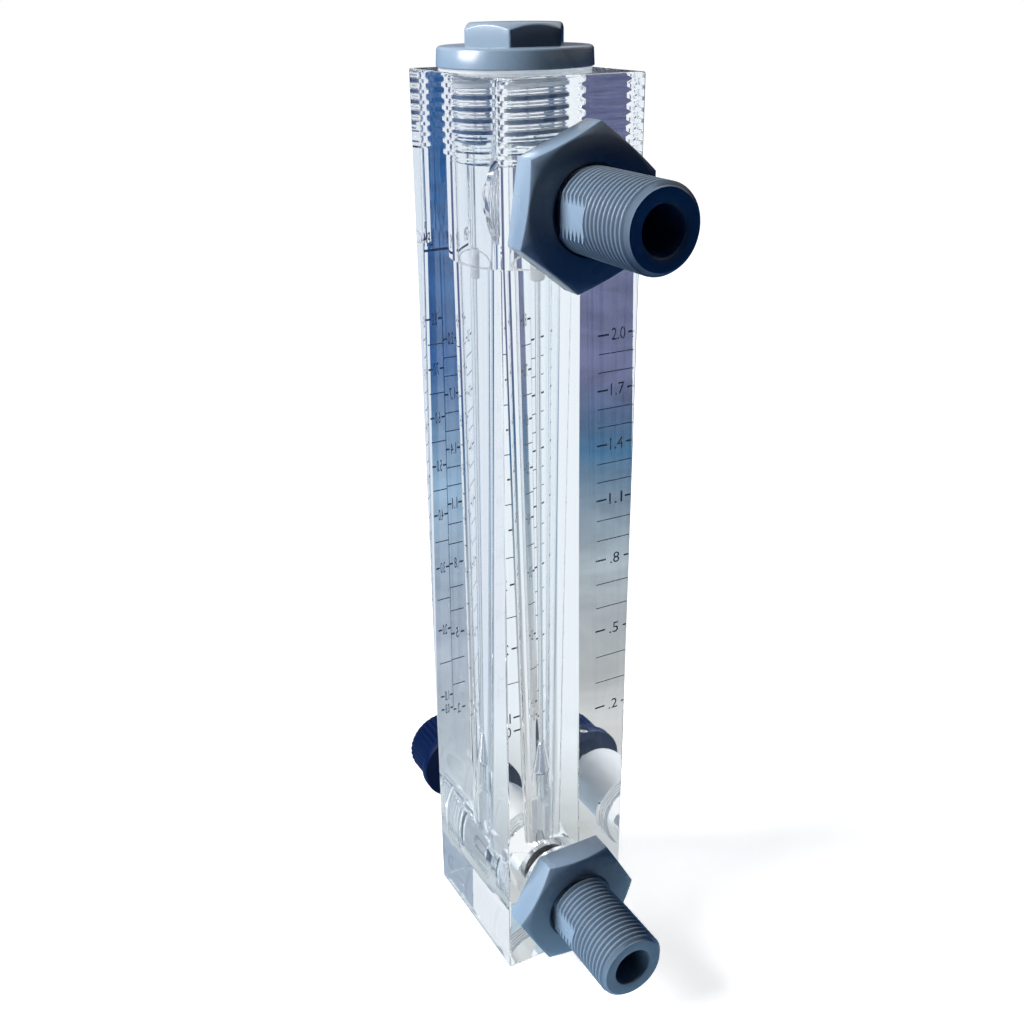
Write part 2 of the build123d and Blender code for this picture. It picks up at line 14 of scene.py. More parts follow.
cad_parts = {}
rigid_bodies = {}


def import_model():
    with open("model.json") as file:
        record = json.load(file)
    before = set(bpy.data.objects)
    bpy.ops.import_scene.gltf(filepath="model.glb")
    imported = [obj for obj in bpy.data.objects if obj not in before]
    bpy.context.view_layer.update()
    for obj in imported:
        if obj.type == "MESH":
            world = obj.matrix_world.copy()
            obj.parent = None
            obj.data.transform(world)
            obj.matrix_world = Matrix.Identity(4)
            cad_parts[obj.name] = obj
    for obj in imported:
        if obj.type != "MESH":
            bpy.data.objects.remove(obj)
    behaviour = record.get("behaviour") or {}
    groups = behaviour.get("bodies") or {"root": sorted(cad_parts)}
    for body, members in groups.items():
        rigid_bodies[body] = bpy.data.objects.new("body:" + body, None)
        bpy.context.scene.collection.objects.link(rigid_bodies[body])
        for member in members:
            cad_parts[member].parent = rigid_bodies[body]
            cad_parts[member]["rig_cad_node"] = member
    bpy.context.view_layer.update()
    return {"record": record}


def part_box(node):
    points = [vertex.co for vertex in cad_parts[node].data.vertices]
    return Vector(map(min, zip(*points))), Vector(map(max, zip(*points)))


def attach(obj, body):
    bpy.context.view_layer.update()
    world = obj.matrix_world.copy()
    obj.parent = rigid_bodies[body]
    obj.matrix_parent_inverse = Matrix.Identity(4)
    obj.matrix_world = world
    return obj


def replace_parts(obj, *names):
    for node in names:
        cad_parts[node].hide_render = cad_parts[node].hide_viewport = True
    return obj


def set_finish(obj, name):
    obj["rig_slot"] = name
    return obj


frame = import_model()
MM = 0.001

# %% [markdown]
# The pieces take their places from the frame: a node's box gives its ends, and a mount gives the axis and
# the radius of a connection. Only the shapes inside a box, such as the bore's taper, need sizes of their own.

# %% Places that the frame gives
mounts = {m["name"]: m for m in frame["record"]["mounts"]}
block_low, block_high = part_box("flow_block")
plug_low, plug_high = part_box("top_plug")
bore_y = (plug_low.y + plug_high.y) / 2
heights = {side: mounts[side + "_bore"]["pos_m"][2] for side in ("outlet", "inlet")}
pipe_thread_radius = mounts["outlet_thread"]["dims"]["r_mm"] * MM
pipe_bore_radius = mounts["outlet_bore"]["dims"]["r_mm"] * MM
front_y, rear_y, block_top = block_low.y, block_high.y, block_high.z
inlet_z = heights["inlet"]
print("Axes in mm: bore y", round(bore_y / MM, 2), "inlet z", round(inlet_z / MM, 2))

# %% [markdown]
# Almost every piece was turned on a lathe or moulded round an axis. So each starts as a profile, drawn by
# extruding one vertex from point to point, as by hand. The profile is drawn beside the world's Z axis,
# where x is the distance from the axis and z is the distance along it.

# %% Draw a profile
def only(obj):
    """Makes obj the one selected and active object."""
    bpy.ops.object.select_all(action="DESELECT")
    obj.select_set(True)
    bpy.context.view_layer.objects.active = obj
    return obj


def edit_all(obj):
    """Opens obj in edit mode with everything in it selected."""
    only(obj)
    bpy.ops.object.mode_set(mode="EDIT")
    bpy.ops.mesh.select_all(action="SELECT")


def draw_profile(name, points, start=0.0, closed=False):
    """A chain of edges through points (distance from the axis, distance along it), start degrees round it."""
    bpy.ops.object.select_all(action="DESELECT")
    bpy.ops.mesh.primitive_plane_add(size=MM)
    obj = bpy.context.object
    obj.name = obj.data.name = name
    bpy.ops.object.mode_set(mode="EDIT")
    bpy.ops.mesh.merge(type="CENTER")
    bpy.ops.transform.translate(value=(points[0][0], 0, points[0][1]))
    path = points + points[:1] if closed else points
    for (r0, z0), (r1, z1) in zip(path, path[1:]):
        bpy.ops.mesh.extrude_vertices_move(TRANSFORM_OT_translate={"value": (r1 - r0, 0, z1 - z0)})
    bpy.ops.mesh.select_all(action="SELECT")
    bpy.ops.mesh.remove_doubles(threshold=MM / 1000)
    bpy.ops.object.mode_set(mode="OBJECT")
    obj.rotation_euler.z = math.radians(start)
    bpy.ops.object.transform_apply(location=True, rotation=True, scale=True)
    return obj


# %% [markdown]
# Spinning the profile gives the turned piece. Its seam and its poles are merged, and only then are the
# normals recalculated, because a spin can leave the shape inside out. Where one round hole meets another,
# their profiles start a little apart, so that no vertex of one falls exactly on an edge of the other. The few
# straight cuts are made with bars.

# %% Spin a profile, and lay the piece on its axis
ROUND_STEPS = 96
UP, REARWARD = 0.0, -math.pi / 2


def clean_shell(obj):
    """Merges doubled vertices and turns every face outwards."""
    edit_all(obj)
    bpy.ops.mesh.remove_doubles(threshold=MM / 1000)
    bpy.ops.mesh.normals_make_consistent(inside=False)
    bpy.ops.object.mode_set(mode="OBJECT")
    return obj


def turned(name, points, start=0.0, steps=ROUND_STEPS, closed=False):
    """A profile spun once round the Z axis."""
    obj = draw_profile(name, points, start, closed)
    edit_all(obj)
    bpy.ops.mesh.spin(steps=steps, angle=2 * math.pi, center=(0, 0, 0), axis=(0, 0, 1))
    bpy.ops.object.mode_set(mode="OBJECT")
    return clean_shell(obj)


def bar(name, middle, size):
    """A rectangular bar, from its middle and its size."""
    bpy.ops.object.select_all(action="DESELECT")
    bpy.ops.mesh.primitive_cube_add(size=1, location=middle, scale=size)
    obj = bpy.context.object
    obj.name = obj.data.name = name
    bpy.ops.object.transform_apply(location=True, rotation=True, scale=True)
    return obj


def lay(obj, origin, tilt=UP):
    """Tilts a piece from the Z axis onto its own, moves it to origin and applies both."""
    only(obj)
    obj.rotation_euler = (tilt, 0, 0)
    obj.location = origin
    bpy.ops.object.transform_apply(location=True, rotation=True, scale=True)
    return obj


def combine(obj, tool, operation="DIFFERENCE"):
    """Cuts, keeps or adds the tool's shape, and removes the tool."""
    only(obj)
    step = obj.modifiers.new("combine", "BOOLEAN")
    step.object, step.operation, step.solver = tool, operation, "EXACT"
    bpy.ops.object.modifier_apply(modifier=step.name)
    bpy.data.objects.remove(tool)
    return obj


def smooth(obj, degrees=32):
    """Shades round walls smooth and keeps the edges sharper than the angle."""
    only(obj)
    bpy.ops.object.shade_smooth_by_angle(angle=math.radians(degrees))
    return obj


# %% [markdown]
# A screw thread is a zigzag profile carried round a helix: the Screw modifier turns it once and lifts it by
# one pitch, so each turn meets the next. Bisecting the result flat at both ends closes it to a solid rod.
# The rod is a bolt as it stands, and the same rod is also the tap that cuts a thread in a hole.

# %% Cut a thread
# One turn of thread: share of the pitch, share of the depth. A tap cuts flat crests and roots in the acrylic,
# and the plug's coarse thread has broad ones. A moulded thread has them rounded.
FLAT_TOOTH = [(0.1, 0.0), (0.4, 1.0), (0.6, 1.0), (0.9, 0.0)]
BROAD_TOOTH = [(0.07, 0.0), (0.33, 1.0), (0.67, 1.0), (0.93, 0.0)]
ROUND_TOOTH = [
    (0.0, 0.0), (0.1, 0.07), (0.18, 0.25), (0.32, 0.75), (0.4, 0.93),
    (0.5, 1.0), (0.6, 0.93), (0.68, 0.75), (0.82, 0.25), (0.9, 0.07),
]


def threaded_rod(name, crest, root, pitch, low, high, start=0.0, steps=ROUND_STEPS, tooth=FLAT_TOOTH):
    """A solid rod with a helical thread, from low to high along the Z axis."""
    first = math.floor(low / pitch) - 2
    count = math.ceil((high - low) / pitch) + 4
    points = [
        (root + (crest - root) * depth, (first + turn + along) * pitch)
        for turn in range(count)
        for along, depth in tooth
    ]
    obj = draw_profile(name, points, start)
    screw = obj.modifiers.new("screw", "SCREW")
    screw.screw_offset = pitch
    screw.steps = screw.render_steps = steps
    screw.use_merge_vertices = True
    screw.merge_threshold = MM / 1000
    only(obj)
    bpy.ops.object.modifier_apply(modifier=screw.name)
    edit_all(obj)
    bpy.ops.mesh.remove_doubles(threshold=MM / 1000)
    for height, below in ((low, True), (high, False)):
        bpy.ops.mesh.select_all(action="SELECT")
        bpy.ops.mesh.bisect(
            plane_co=(0, 0, height),
            plane_no=(0, 0, 1),
            use_fill=True,
            clear_inner=below,
            clear_outer=not below,
            threshold=MM / 10000,
        )
    bpy.ops.object.mode_set(mode="OBJECT")
    return clean_shell(obj)


# %% [markdown]
# The block is one bar of clear acrylic: milled, polished, bored, and tapped for the plug, for the valve and
# for both pipe connections. In clear plastic a hole is seen by its wall alone, so the block is cut the way
# the workshop cuts it, one tool after another. Each tool is the turned or threaded solid of its own hole.

# %% Bore the block from above
CHAMBER_RADIUS, CHAMBER_FLOOR = 9.4 * MM, 172.8 * MM
BORE_LOW_Z, BORE_LOW_RADIUS, BORE_TOP_RADIUS = 29.0 * MM, 5.0 * MM, 7.85 * MM
PLUG_TAP = dict(crest=10.4 * MM, root=9.3 * MM, pitch=2.15 * MM)
EASE = 0.4 * MM


def taper_radius(z):
    """Radius of the metering bore at a height."""
    share = (z - BORE_LOW_Z) / (CHAMBER_FLOOR - BORE_LOW_Z)
    return BORE_LOW_RADIUS + share * (BORE_TOP_RADIUS - BORE_LOW_RADIUS)


def open_end(radius, tap, face, outwards):
    """The end of a hole that is tapped afterwards: a countersink a little wider than the thread."""
    wide = tap["crest"] + EASE
    return [
        (radius, face - outwards * (wide - radius)),
        (wide, face),
        (wide, face + outwards * MM),
        (0, face + outwards * MM),
    ]


block = bar("clear_block", (block_low + block_high) / 2, block_high - block_low)
edit_all(block)
bpy.ops.mesh.bevel(offset=0.3 * MM, segments=2, affect="EDGES")
bpy.ops.object.mode_set(mode="OBJECT")

bore_end = inlet_z - 1.3 * MM
upright = [
    (0, bore_end),
    (taper_radius(bore_end), bore_end),
    (BORE_TOP_RADIUS, CHAMBER_FLOOR),
    (CHAMBER_RADIUS, CHAMBER_FLOOR),
] + open_end(CHAMBER_RADIUS, PLUG_TAP, block_top, 1)
combine(block, lay(turned("bore_tool", upright, 0.3, steps=128), (0, bore_y, 0)))
tap_low = block_top - 17 * MM
tap = threaded_rod("plug_tap", low=tap_low, high=block_top + MM, tooth=BROAD_TOOTH, **PLUG_TAP)
combine(block, lay(tap, (0, bore_y, 0)))
print("Bored from above:", len(block.data.polygons), "faces")

# %% [markdown]
# The valve's cavity comes in from the front, down to its seat, and the two ports come in from behind. A tap
# leaves a wall that is less bright than the polished faces, so such faces are marked for a second material.

# %% Cut the valve's cavity and the ports
BONNET_TAP = dict(crest=10.1 * MM, root=9.3 * MM, pitch=1.5 * MM)
SEAT_Y, SEAT_RADIUS, BONNET_SEAT_Y = 3.0 * MM, 3.5 * MM, -12.25 * MM
PORT_TAP = dict(crest=pipe_thread_radius + 0.1 * MM, root=7.57 * MM, pitch=1.337 * MM)
PORT_FLOOR_Y, PORT_RELIEF_Y, PORT_RADIUS = 7.75 * MM, 9.4 * MM, 7.62 * MM
cavity = open_end(CHAMBER_RADIUS, BONNET_TAP, front_y, -1)[::-1] + [
    (CHAMBER_RADIUS, SEAT_Y),
    (SEAT_RADIUS + 0.5 * MM, SEAT_Y),
    (SEAT_RADIUS, SEAT_Y + 0.5 * MM),
    (SEAT_RADIUS, PORT_FLOOR_Y + 0.5 * MM),
    (0, PORT_FLOOR_Y + 0.5 * MM),
]
combine(block, lay(turned("valve_cavity", cavity, 0.5), (0, 0, inlet_z), REARWARD))
tap = threaded_rod("bonnet_tap", low=front_y - MM, high=BONNET_SEAT_Y, **BONNET_TAP)
combine(block, lay(tap, (0, 0, inlet_z), REARWARD))

port = [
    (0, PORT_FLOOR_Y),
    (PORT_TAP["crest"], PORT_FLOOR_Y),
    (PORT_TAP["crest"], PORT_RELIEF_Y),
    (PORT_RADIUS, PORT_RELIEF_Y),
] + open_end(PORT_RADIUS, PORT_TAP, rear_y, 1)
ledge = [(0, bore_y), (5.5 * MM, bore_y), (5.5 * MM, PORT_FLOOR_Y + 0.5 * MM), (0, PORT_FLOOR_Y + 0.5 * MM)]
combine(block, lay(turned("ledge_bore", ledge, 0.7), (0, 0, heights["outlet"]), REARWARD))
for side, height in heights.items():
    combine(block, lay(turned(side + "_port", port, 0.9), (0, 0, height), REARWARD))
    tap = threaded_rod(side + "_tap", low=PORT_RELIEF_Y - 0.2 * MM, high=rear_y + MM, **PORT_TAP)
    combine(block, lay(tap, (0, 0, height), REARWARD))


def in_tapped_hole(face):
    """True for the block's faces that a tap cut, by how many millimetres they lie from the tap's axis."""
    c = face.center
    taps = [
        (c.z > tap_low, c.y - bore_y, 8.9, 10.7),
        (front_y + 0.01 * MM < c.y < BONNET_SEAT_Y, c.z - inlet_z, 9.1, 10.4),
    ] + [(c.y > PORT_FLOOR_Y, c.z - height, 7.3, 8.75) for height in heights.values()]
    return any(there and low * MM < math.hypot(c.x, aside) < high * MM for there, aside, low, high in taps)


smooth(clean_shell(block), 12)
for name in ("polished", "tapped"):
    block.data.materials.append(bpy.data.materials.new(name))
for face in block.data.polygons:
    face.material_index = int(in_tapped_hole(face))
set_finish(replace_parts(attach(block, "meter_body"), "flow_block"), "clear_acrylic")
print("clear_block:", len(block.data.polygons), "faces")


# %% [markdown]
# The plug and the lock nuts are hexagons whose corners are turned off to a cone, as is the imported gland nut. That
# cone gives the curved edge lines of a real nut, so each hexagon made here is a prism of six sides that is cut by a
# turned shape.

# %% Hexagons
def hexagon(name, flats, low, high, corner_cut, turn, two_sided=False):
    """A hexagon bar along Z, a corner at turn degrees from +X, its corners turned off at the outer end."""
    corner = flats / math.sqrt(3)
    bpy.ops.object.select_all(action="DESELECT")
    middle = (0, 0, (low + high) / 2)
    bpy.ops.mesh.primitive_cylinder_add(vertices=6, radius=corner, depth=high - low, location=middle)
    obj = bpy.context.object
    obj.name = obj.data.name = name
    obj.rotation_euler.z = math.radians(turn - 90)
    bpy.ops.object.transform_apply(location=True, rotation=True, scale=True)
    wide, inner = corner + 0.3 * MM, flats / 2 - EASE
    drop = corner_cut * (wide - inner) / (corner - inner)
    foot = [(0, low), (inner, low), (wide, low + drop)] if two_sided else [(0, low - MM), (wide, low - MM)]
    envelope = foot + [(wide, high - drop), (inner, high), (0, high)]
    return combine(obj, turned(name + "_cone", envelope, 0.4), "INTERSECT")


def ease_edges(obj, width, segments=2, degrees=35):
    """Rounds a machined or moulded piece's sharp edges with a narrow bevel."""
    only(obj)
    bevel = obj.modifiers.new("ease", "BEVEL")
    bevel.width, bevel.segments, bevel.limit_method = width, segments, "ANGLE"
    bevel.angle_limit, bevel.harden_normals = math.radians(degrees), False
    bpy.ops.object.modifier_apply(modifier=bevel.name)
    return obj


def finish_piece(obj, body, slot, *nodes, degrees=32):
    """The last steps of every piece: a clean shell, its shading, its body, its slot and the node it stands for."""
    smooth(clean_shell(obj), degrees)
    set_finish(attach(obj, body), slot)
    if nodes:
        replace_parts(obj, *nodes)
    print(obj.name + ":", len(obj.data.polygons), "faces")
    return obj


# %% [markdown]
# The plug is moulded in one: a threaded shank below, a round flange, and a hexagon head on top. Its thread
# is the same helix as the tapped mouth, a tenth of a millimetre smaller, so the two mesh without touching.

# %% The plug on top
GASKET_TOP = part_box("top_plug_gasket")[1].z
FLANGE_TOP = GASKET_TOP + 3.8 * MM
PLUG_THREAD = dict(crest=10.3 * MM, root=9.2 * MM, pitch=PLUG_TAP["pitch"])
SHANK_LOW, SOCKET_TOP = 198.5 * MM, 200.5 * MM
flange = [
    (0, SHANK_LOW - 2 * MM),
    (7.3 * MM, SHANK_LOW - 2 * MM),
    (7.6 * MM, SHANK_LOW - 1.7 * MM),
    (7.6 * MM, SHANK_LOW),
    (9.0 * MM, SHANK_LOW),
    (9.0 * MM, GASKET_TOP),
    (15.65 * MM, GASKET_TOP),
    (15.8 * MM, GASKET_TOP + 0.15 * MM),
    (15.6 * MM, FLANGE_TOP - 0.5 * MM),
    (15.35 * MM, FLANGE_TOP - 0.15 * MM),
    (15.0 * MM, FLANGE_TOP),
    (0, FLANGE_TOP),
]
plug = turned("top_plug_moulding", flange, steps=128)
shank_end = GASKET_TOP + 0.4 * MM
shank = threaded_rod("shank", low=SHANK_LOW + 0.13 * MM, high=shank_end, start=0.6, tooth=BROAD_TOOTH, **PLUG_THREAD)
combine(plug, shank, "UNION")
head = hexagon("plug_head", 18.7 * MM, FLANGE_TOP - MM, plug_high.z, 1.1 * MM, 55.7)
combine(plug, ease_edges(head, 0.22 * MM), "UNION")
ROD_HOLE = 1.05 * MM
socket = [(0, SHANK_LOW - 3 * MM), (ROD_HOLE, SHANK_LOW - 3 * MM), (ROD_HOLE, SOCKET_TOP), (0, SOCKET_TOP)]
combine(plug, turned("rod_socket", socket, 0.2, steps=32))
lay(plug, (0, bore_y, 0))
finish_piece(plug, "meter_body", "grey_pvc", "top_plug")

# %% [markdown]
# Both pipe connections are the same: a nipple that is threaded from end to end, milled flat on two sides for
# a wrench, and a lock nut that runs on its thread. The flats are milled through the crests, so the thread's
# teeth still show along their borders. Nipple and nut are made once, then copied for the second connection.

# %% Nipples and lock nuts
nipple_low, nipple_high = (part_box("outlet_nipple")[i].y for i in (0, 1))
nut_low, nut_high = (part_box("outlet_nut")[i].y for i in (0, 1))
NUT_FLATS, NUT_TURNS = 28.0 * MM, {"outlet": -38.0, "inlet": 0.0}
FLAT_X, FLAT_START, FLAT_END = 7.2 * MM, rear_y + 4.0 * MM, rear_y + 16.4 * MM
NIPPLE_THREAD = dict(crest=pipe_thread_radius, root=7.47 * MM, pitch=PORT_TAP["pitch"])

past_end = 0.5 * MM
ends = dict(low=nipple_low - past_end, high=nipple_high + past_end)
stock = threaded_rod("nipple", start=0.9, tooth=ROUND_TOOTH, **ends, **NIPPLE_THREAD)
shell = [
    (pipe_bore_radius, nipple_low),
    (pipe_thread_radius - EASE, nipple_low),
    (pipe_thread_radius + 0.1 * MM, nipple_low + EASE + 0.1 * MM),
    (pipe_thread_radius + 0.1 * MM, nipple_high - 0.9 * MM),
    (7.55 * MM, nipple_high - 0.2 * MM),
    (7.35 * MM, nipple_high),
    (5.2 * MM, nipple_high),
    (4.75 * MM, nipple_high - 0.15 * MM),
    (pipe_bore_radius, nipple_high - 0.6 * MM),
]
combine(stock, turned("nipple_shell", shell, 0.2, closed=True), "INTERSECT")
for side_x in (-1, 1):
    middle = (side_x * (FLAT_X + 1.5 * MM), 0, (FLAT_START + FLAT_END) / 2)
    cutter = bar("wrench_flat", middle, (3 * MM, 20 * MM, FLAT_END - FLAT_START))
    combine(stock, ease_edges(cutter, 0.35 * MM))

nut_stock = hexagon("lock_nut", NUT_FLATS, nut_low, nut_high, 1.2 * MM, 0)
ease_edges(nut_stock, 0.2 * MM)
nut_hole = [
    (0, nut_low - MM),
    (PORT_RADIUS + EASE + MM, nut_low - MM),
    (PORT_RADIUS, nut_low + EASE),
] + open_end(PORT_RADIUS, PORT_TAP, nut_high, 1)
combine(nut_stock, turned("nut_hole", nut_hole, 0.3))


def copy_of(obj, name):
    """A copy of a piece with a mesh of its own."""
    twin = obj.copy()
    twin.data = obj.data.copy()
    twin.name = twin.data.name = name
    bpy.context.collection.objects.link(twin)
    return twin


nipples = []
for side, height in heights.items():
    nipple = lay(copy_of(stock, side + "_threaded_nipple"), (0, 0, height), REARWARD)
    nipples.append(finish_piece(nipple, "meter_body", "grey_pvc", side + "_nipple"))
    nut = copy_of(nut_stock, side + "_lock_nut")
    nut.rotation_euler.z = math.radians(NUT_TURNS[side])
    only(nut)
    bpy.ops.object.transform_apply(location=True, rotation=True, scale=True)
    combine(nut, threaded_rod("nut_tap", low=nut_low - MM, high=nut_high + MM, start=0.9, **PORT_TAP))
    finish_piece(lay(nut, (0, 0, height), REARWARD), "meter_body", "grey_pvc", side + "_nut")
for spare in (stock, nut_stock):
    bpy.data.objects.remove(spare)

# %% [markdown]
# Inside the bore hang the guide rod, the float and the two stops. The clear block magnifies them about one
# and a half times sideways, so their small edges are rounded as the real ones are: a sharp edge there gives
# no highlight at all.

# %% Float and upper stop
float_low, float_high = (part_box("float")[i].z for i in (0, 1))
rim_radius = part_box("float")[1].x
rim_z = float_low + 8.8 * MM
float_profile = [
    (1.1 * MM, float_low + 0.2 * MM),
    (1.3 * MM, float_low),
    (2.25 * MM, float_low),
    (2.45 * MM, float_low + 0.1 * MM),
    (2.55 * MM, float_low + 0.3 * MM),
    (2.55 * MM, float_low + 6.9 * MM),
    (2.7 * MM, float_low + 7.6 * MM),
    (rim_radius - 0.12 * MM, rim_z - 0.08 * MM),
    (rim_radius, rim_z + 0.06 * MM),
    (rim_radius, rim_z + 0.42 * MM),
    (rim_radius - 0.1 * MM, rim_z + 0.55 * MM),
    (1.5 * MM, float_high - 0.12 * MM),
    (1.4 * MM, float_high),
    (1.2 * MM, float_high),
    (1.1 * MM, float_high - 0.1 * MM),
]
float_piece = lay(turned("float_turning", float_profile, closed=True), (0, bore_y, 0))
finish_piece(float_piece, "float", "stainless_steel", "float", degrees=24)

stop_low, stop_high = (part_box("upper_float_stop")[i].z for i in (0, 1))
stop_profile = [
    (ROD_HOLE, stop_low),
    (2.2 * MM, stop_low),
    (2.5 * MM, stop_low + 0.12 * MM),
    (2.6 * MM, stop_low + 0.4 * MM),
    (2.6 * MM, stop_high - 0.4 * MM),
    (2.5 * MM, stop_high - 0.12 * MM),
    (2.2 * MM, stop_high),
    (ROD_HOLE, stop_high),
]
finish_piece(
    lay(turned("upper_stop_sleeve", stop_profile, closed=True), (0, bore_y, 0)),
    "meter_body", "pale_acetal", "upper_float_stop",
)

# %% [markdown]
# The valve comes in from the front. Its bonnet is turned from pale acetal: a threaded stretch in the block,
# then a neck with two wrench flats and a dome that carries a small bright gland nut. The knob is moulded, with
# fine ribs all round its grip, a smooth wider collar behind them and a shallow dish in its face.

# %% Valve bonnet
def quarter_turn(step):
    """The angles from 0 to 90 degrees, step degrees apart."""
    return [math.radians(degrees) for degrees in range(0, 91, step)]


bonnet_low, bonnet_high = (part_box("valve_bonnet")[i].y for i in (0, 1))
dome_low = front_y - 13.5 * MM
dome_end = dome_low - 4.0 * MM
dome = [(5.8 * MM + 2.8 * MM * math.cos(a), dome_low - 4.0 * MM * math.sin(a)) for a in quarter_turn(10)]
bonnet_outside = [
    (9.3 * MM, bonnet_high),
    (9.3 * MM, -10.0 * MM),
    (8.0 * MM, -10.0 * MM),
    (8.0 * MM, -11.4 * MM),
    (9.3 * MM, -11.4 * MM),
    (9.3 * MM, BONNET_SEAT_Y + 0.05 * MM),
    (9.1 * MM, BONNET_SEAT_Y - 0.1 * MM),
    (9.1 * MM, front_y),
    (8.6 * MM, front_y - 0.1 * MM),
]
bonnet_inside = [
    (5.7 * MM, dome_end),
    (4.8 * MM, dome_end),
    (4.8 * MM, bonnet_low + 0.2 * MM),
    (4.6 * MM, bonnet_low),
    (3.55 * MM, bonnet_low),
    (3.55 * MM, -20.35 * MM),
    (4.05 * MM, -20.35 * MM),
    (4.05 * MM, bonnet_high),
]
bonnet = turned("bonnet_turning", bonnet_outside + dome + bonnet_inside, closed=True)
BONNET_THREAD = dict(crest=10.0 * MM, root=9.2 * MM, pitch=BONNET_TAP["pitch"])
ends = dict(low=front_y + 0.3 * MM, high=BONNET_SEAT_Y - 0.07 * MM)
thread = threaded_rod("bonnet_thread", start=0.7, **ends, **BONNET_THREAD)
core = [(0, front_y - MM), (9.0 * MM, front_y - MM), (9.0 * MM, BONNET_SEAT_Y + MM), (0, BONNET_SEAT_Y + MM)]
combine(thread, turned("thread_core", core, 0.4))
combine(bonnet, thread, "UNION")
for side_x in (-1, 1):
    cutter = bar("bonnet_flat", (side_x * 8.9 * MM, 0, dome_low + 3 * MM), (2 * MM, 12 * MM, 6 * MM))
    combine(bonnet, ease_edges(cutter, 0.3 * MM))
lay(bonnet, (0, 0, inlet_z), REARWARD)
finish_piece(bonnet, "meter_body", "pale_acetal", "valve_bonnet")

# %% [markdown]
# The knob's ribs are drawn as one closed outline, rib after rib, and extruded along the grip. A turned shape
# then cuts the prism to the knob's silhouette, which rounds the ends of all the ribs at once, as in the mould.

# %% Ribbed knob
knob_low, knob_high = (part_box("valve_knob")[i].y for i in (0, 1))
collar_end = knob_high - 3.0 * MM
RIB_COUNT, RIB_RADIUS, RIB_DEPTH = 36, 9.8 * MM, 0.5 * MM
RIB_SHAPE = [(0.0, 1.0), (0.16, 0.62), (0.3, 0.16), (0.5, 0.0), (0.7, 0.16), (0.84, 0.62)]


def ribbed_grip(name, low, high):
    """A grip with rounded ribs, from low to high along Z."""
    outline = [
        ((rib + share) * 2 * math.pi / RIB_COUNT, RIB_RADIUS - RIB_DEPTH * deep)
        for rib in range(RIB_COUNT)
        for share, deep in RIB_SHAPE
    ]
    points = [(r * math.cos(a), r * math.sin(a)) for a, r in outline]
    obj = draw_profile(name, points, closed=True)
    edit_all(obj)
    bpy.ops.mesh.edge_face_add()
    bpy.ops.mesh.extrude_region_move(TRANSFORM_OT_translate={"value": (0, high - low, 0)})
    bpy.ops.object.mode_set(mode="OBJECT")
    obj.rotation_euler.x = math.pi / 2
    obj.location.z = low
    bpy.ops.object.transform_apply(location=True, rotation=True, scale=True)
    return clean_shell(obj)


knob = ribbed_grip("knob_moulding", knob_low - MM, collar_end + 0.6 * MM)
EDGE_ROUND = 0.9 * MM
front_round = [
    (RIB_RADIUS - EDGE_ROUND * (1 - math.cos(a)) + 0.05 * MM, knob_low + EDGE_ROUND * (1 - math.sin(a)))
    for a in quarter_turn(15)
]
grip_envelope = [(0, collar_end + MM), (10.2 * MM, collar_end + MM)] + front_round + [
    (7.7 * MM, knob_low),
    (7.4 * MM, knob_low + 0.2 * MM),
    (7.2 * MM, knob_low + 0.6 * MM),
    (0, knob_low + 0.6 * MM),
]
combine(knob, turned("grip_envelope", grip_envelope, 0.4), "INTERSECT")
collar = [
    (0, collar_end + 0.2 * MM),
    (10.0 * MM, collar_end),
    (10.55 * MM, collar_end + 0.08 * MM),
    (10.8 * MM, collar_end + 0.4 * MM),
    (10.8 * MM, knob_high - 0.3 * MM),
    (10.6 * MM, knob_high),
    (0, knob_high),
]
combine(knob, turned("knob_collar", collar, 0.7), "UNION")
hole_radius, hole_floor = 3.05 * MM, knob_low + 2.35 * MM
shaft_hole = [(0, hole_floor), (hole_radius, hole_floor), (hole_radius, knob_high + MM), (0, knob_high + MM)]
combine(knob, turned("shaft_hole", shaft_hole, 0.2, steps=48))
lay(knob, (0, 0, inlet_z), REARWARD)
grub_low, grub_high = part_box("knob_grub_screw")
bpy.ops.object.select_all(action="DESELECT")
grub_axis = (0, (grub_low.y + grub_high.y) / 2, grub_low.z + 6.03 * MM)
bpy.ops.mesh.primitive_cylinder_add(vertices=32, radius=1.3 * MM, depth=12 * MM, location=grub_axis)
combine(knob, bpy.context.object)
finish_piece(knob, "valve_handle", "black_plastic", "valve_knob", degrees=38)

# %% [markdown]
# The scale is printed on the front face. Ink is a thin film on the acrylic, so each mark is a flat plate that
# lies just under the surface. From outside it reads as print, and light that is turned back inside the block
# meets it first, which is how the same scale shows again in the sides of the real meter.

# %% Ink marks
INK_TOP, INK_THICK = front_y + 0.02 * MM, 0.02 * MM


def ink_plate(name, x0, x1, z, thick):
    """One straight mark of ink."""
    return bar(name, ((x0 + x1) / 2, INK_TOP + INK_THICK / 2, z), (abs(x1 - x0), INK_THICK, thick))


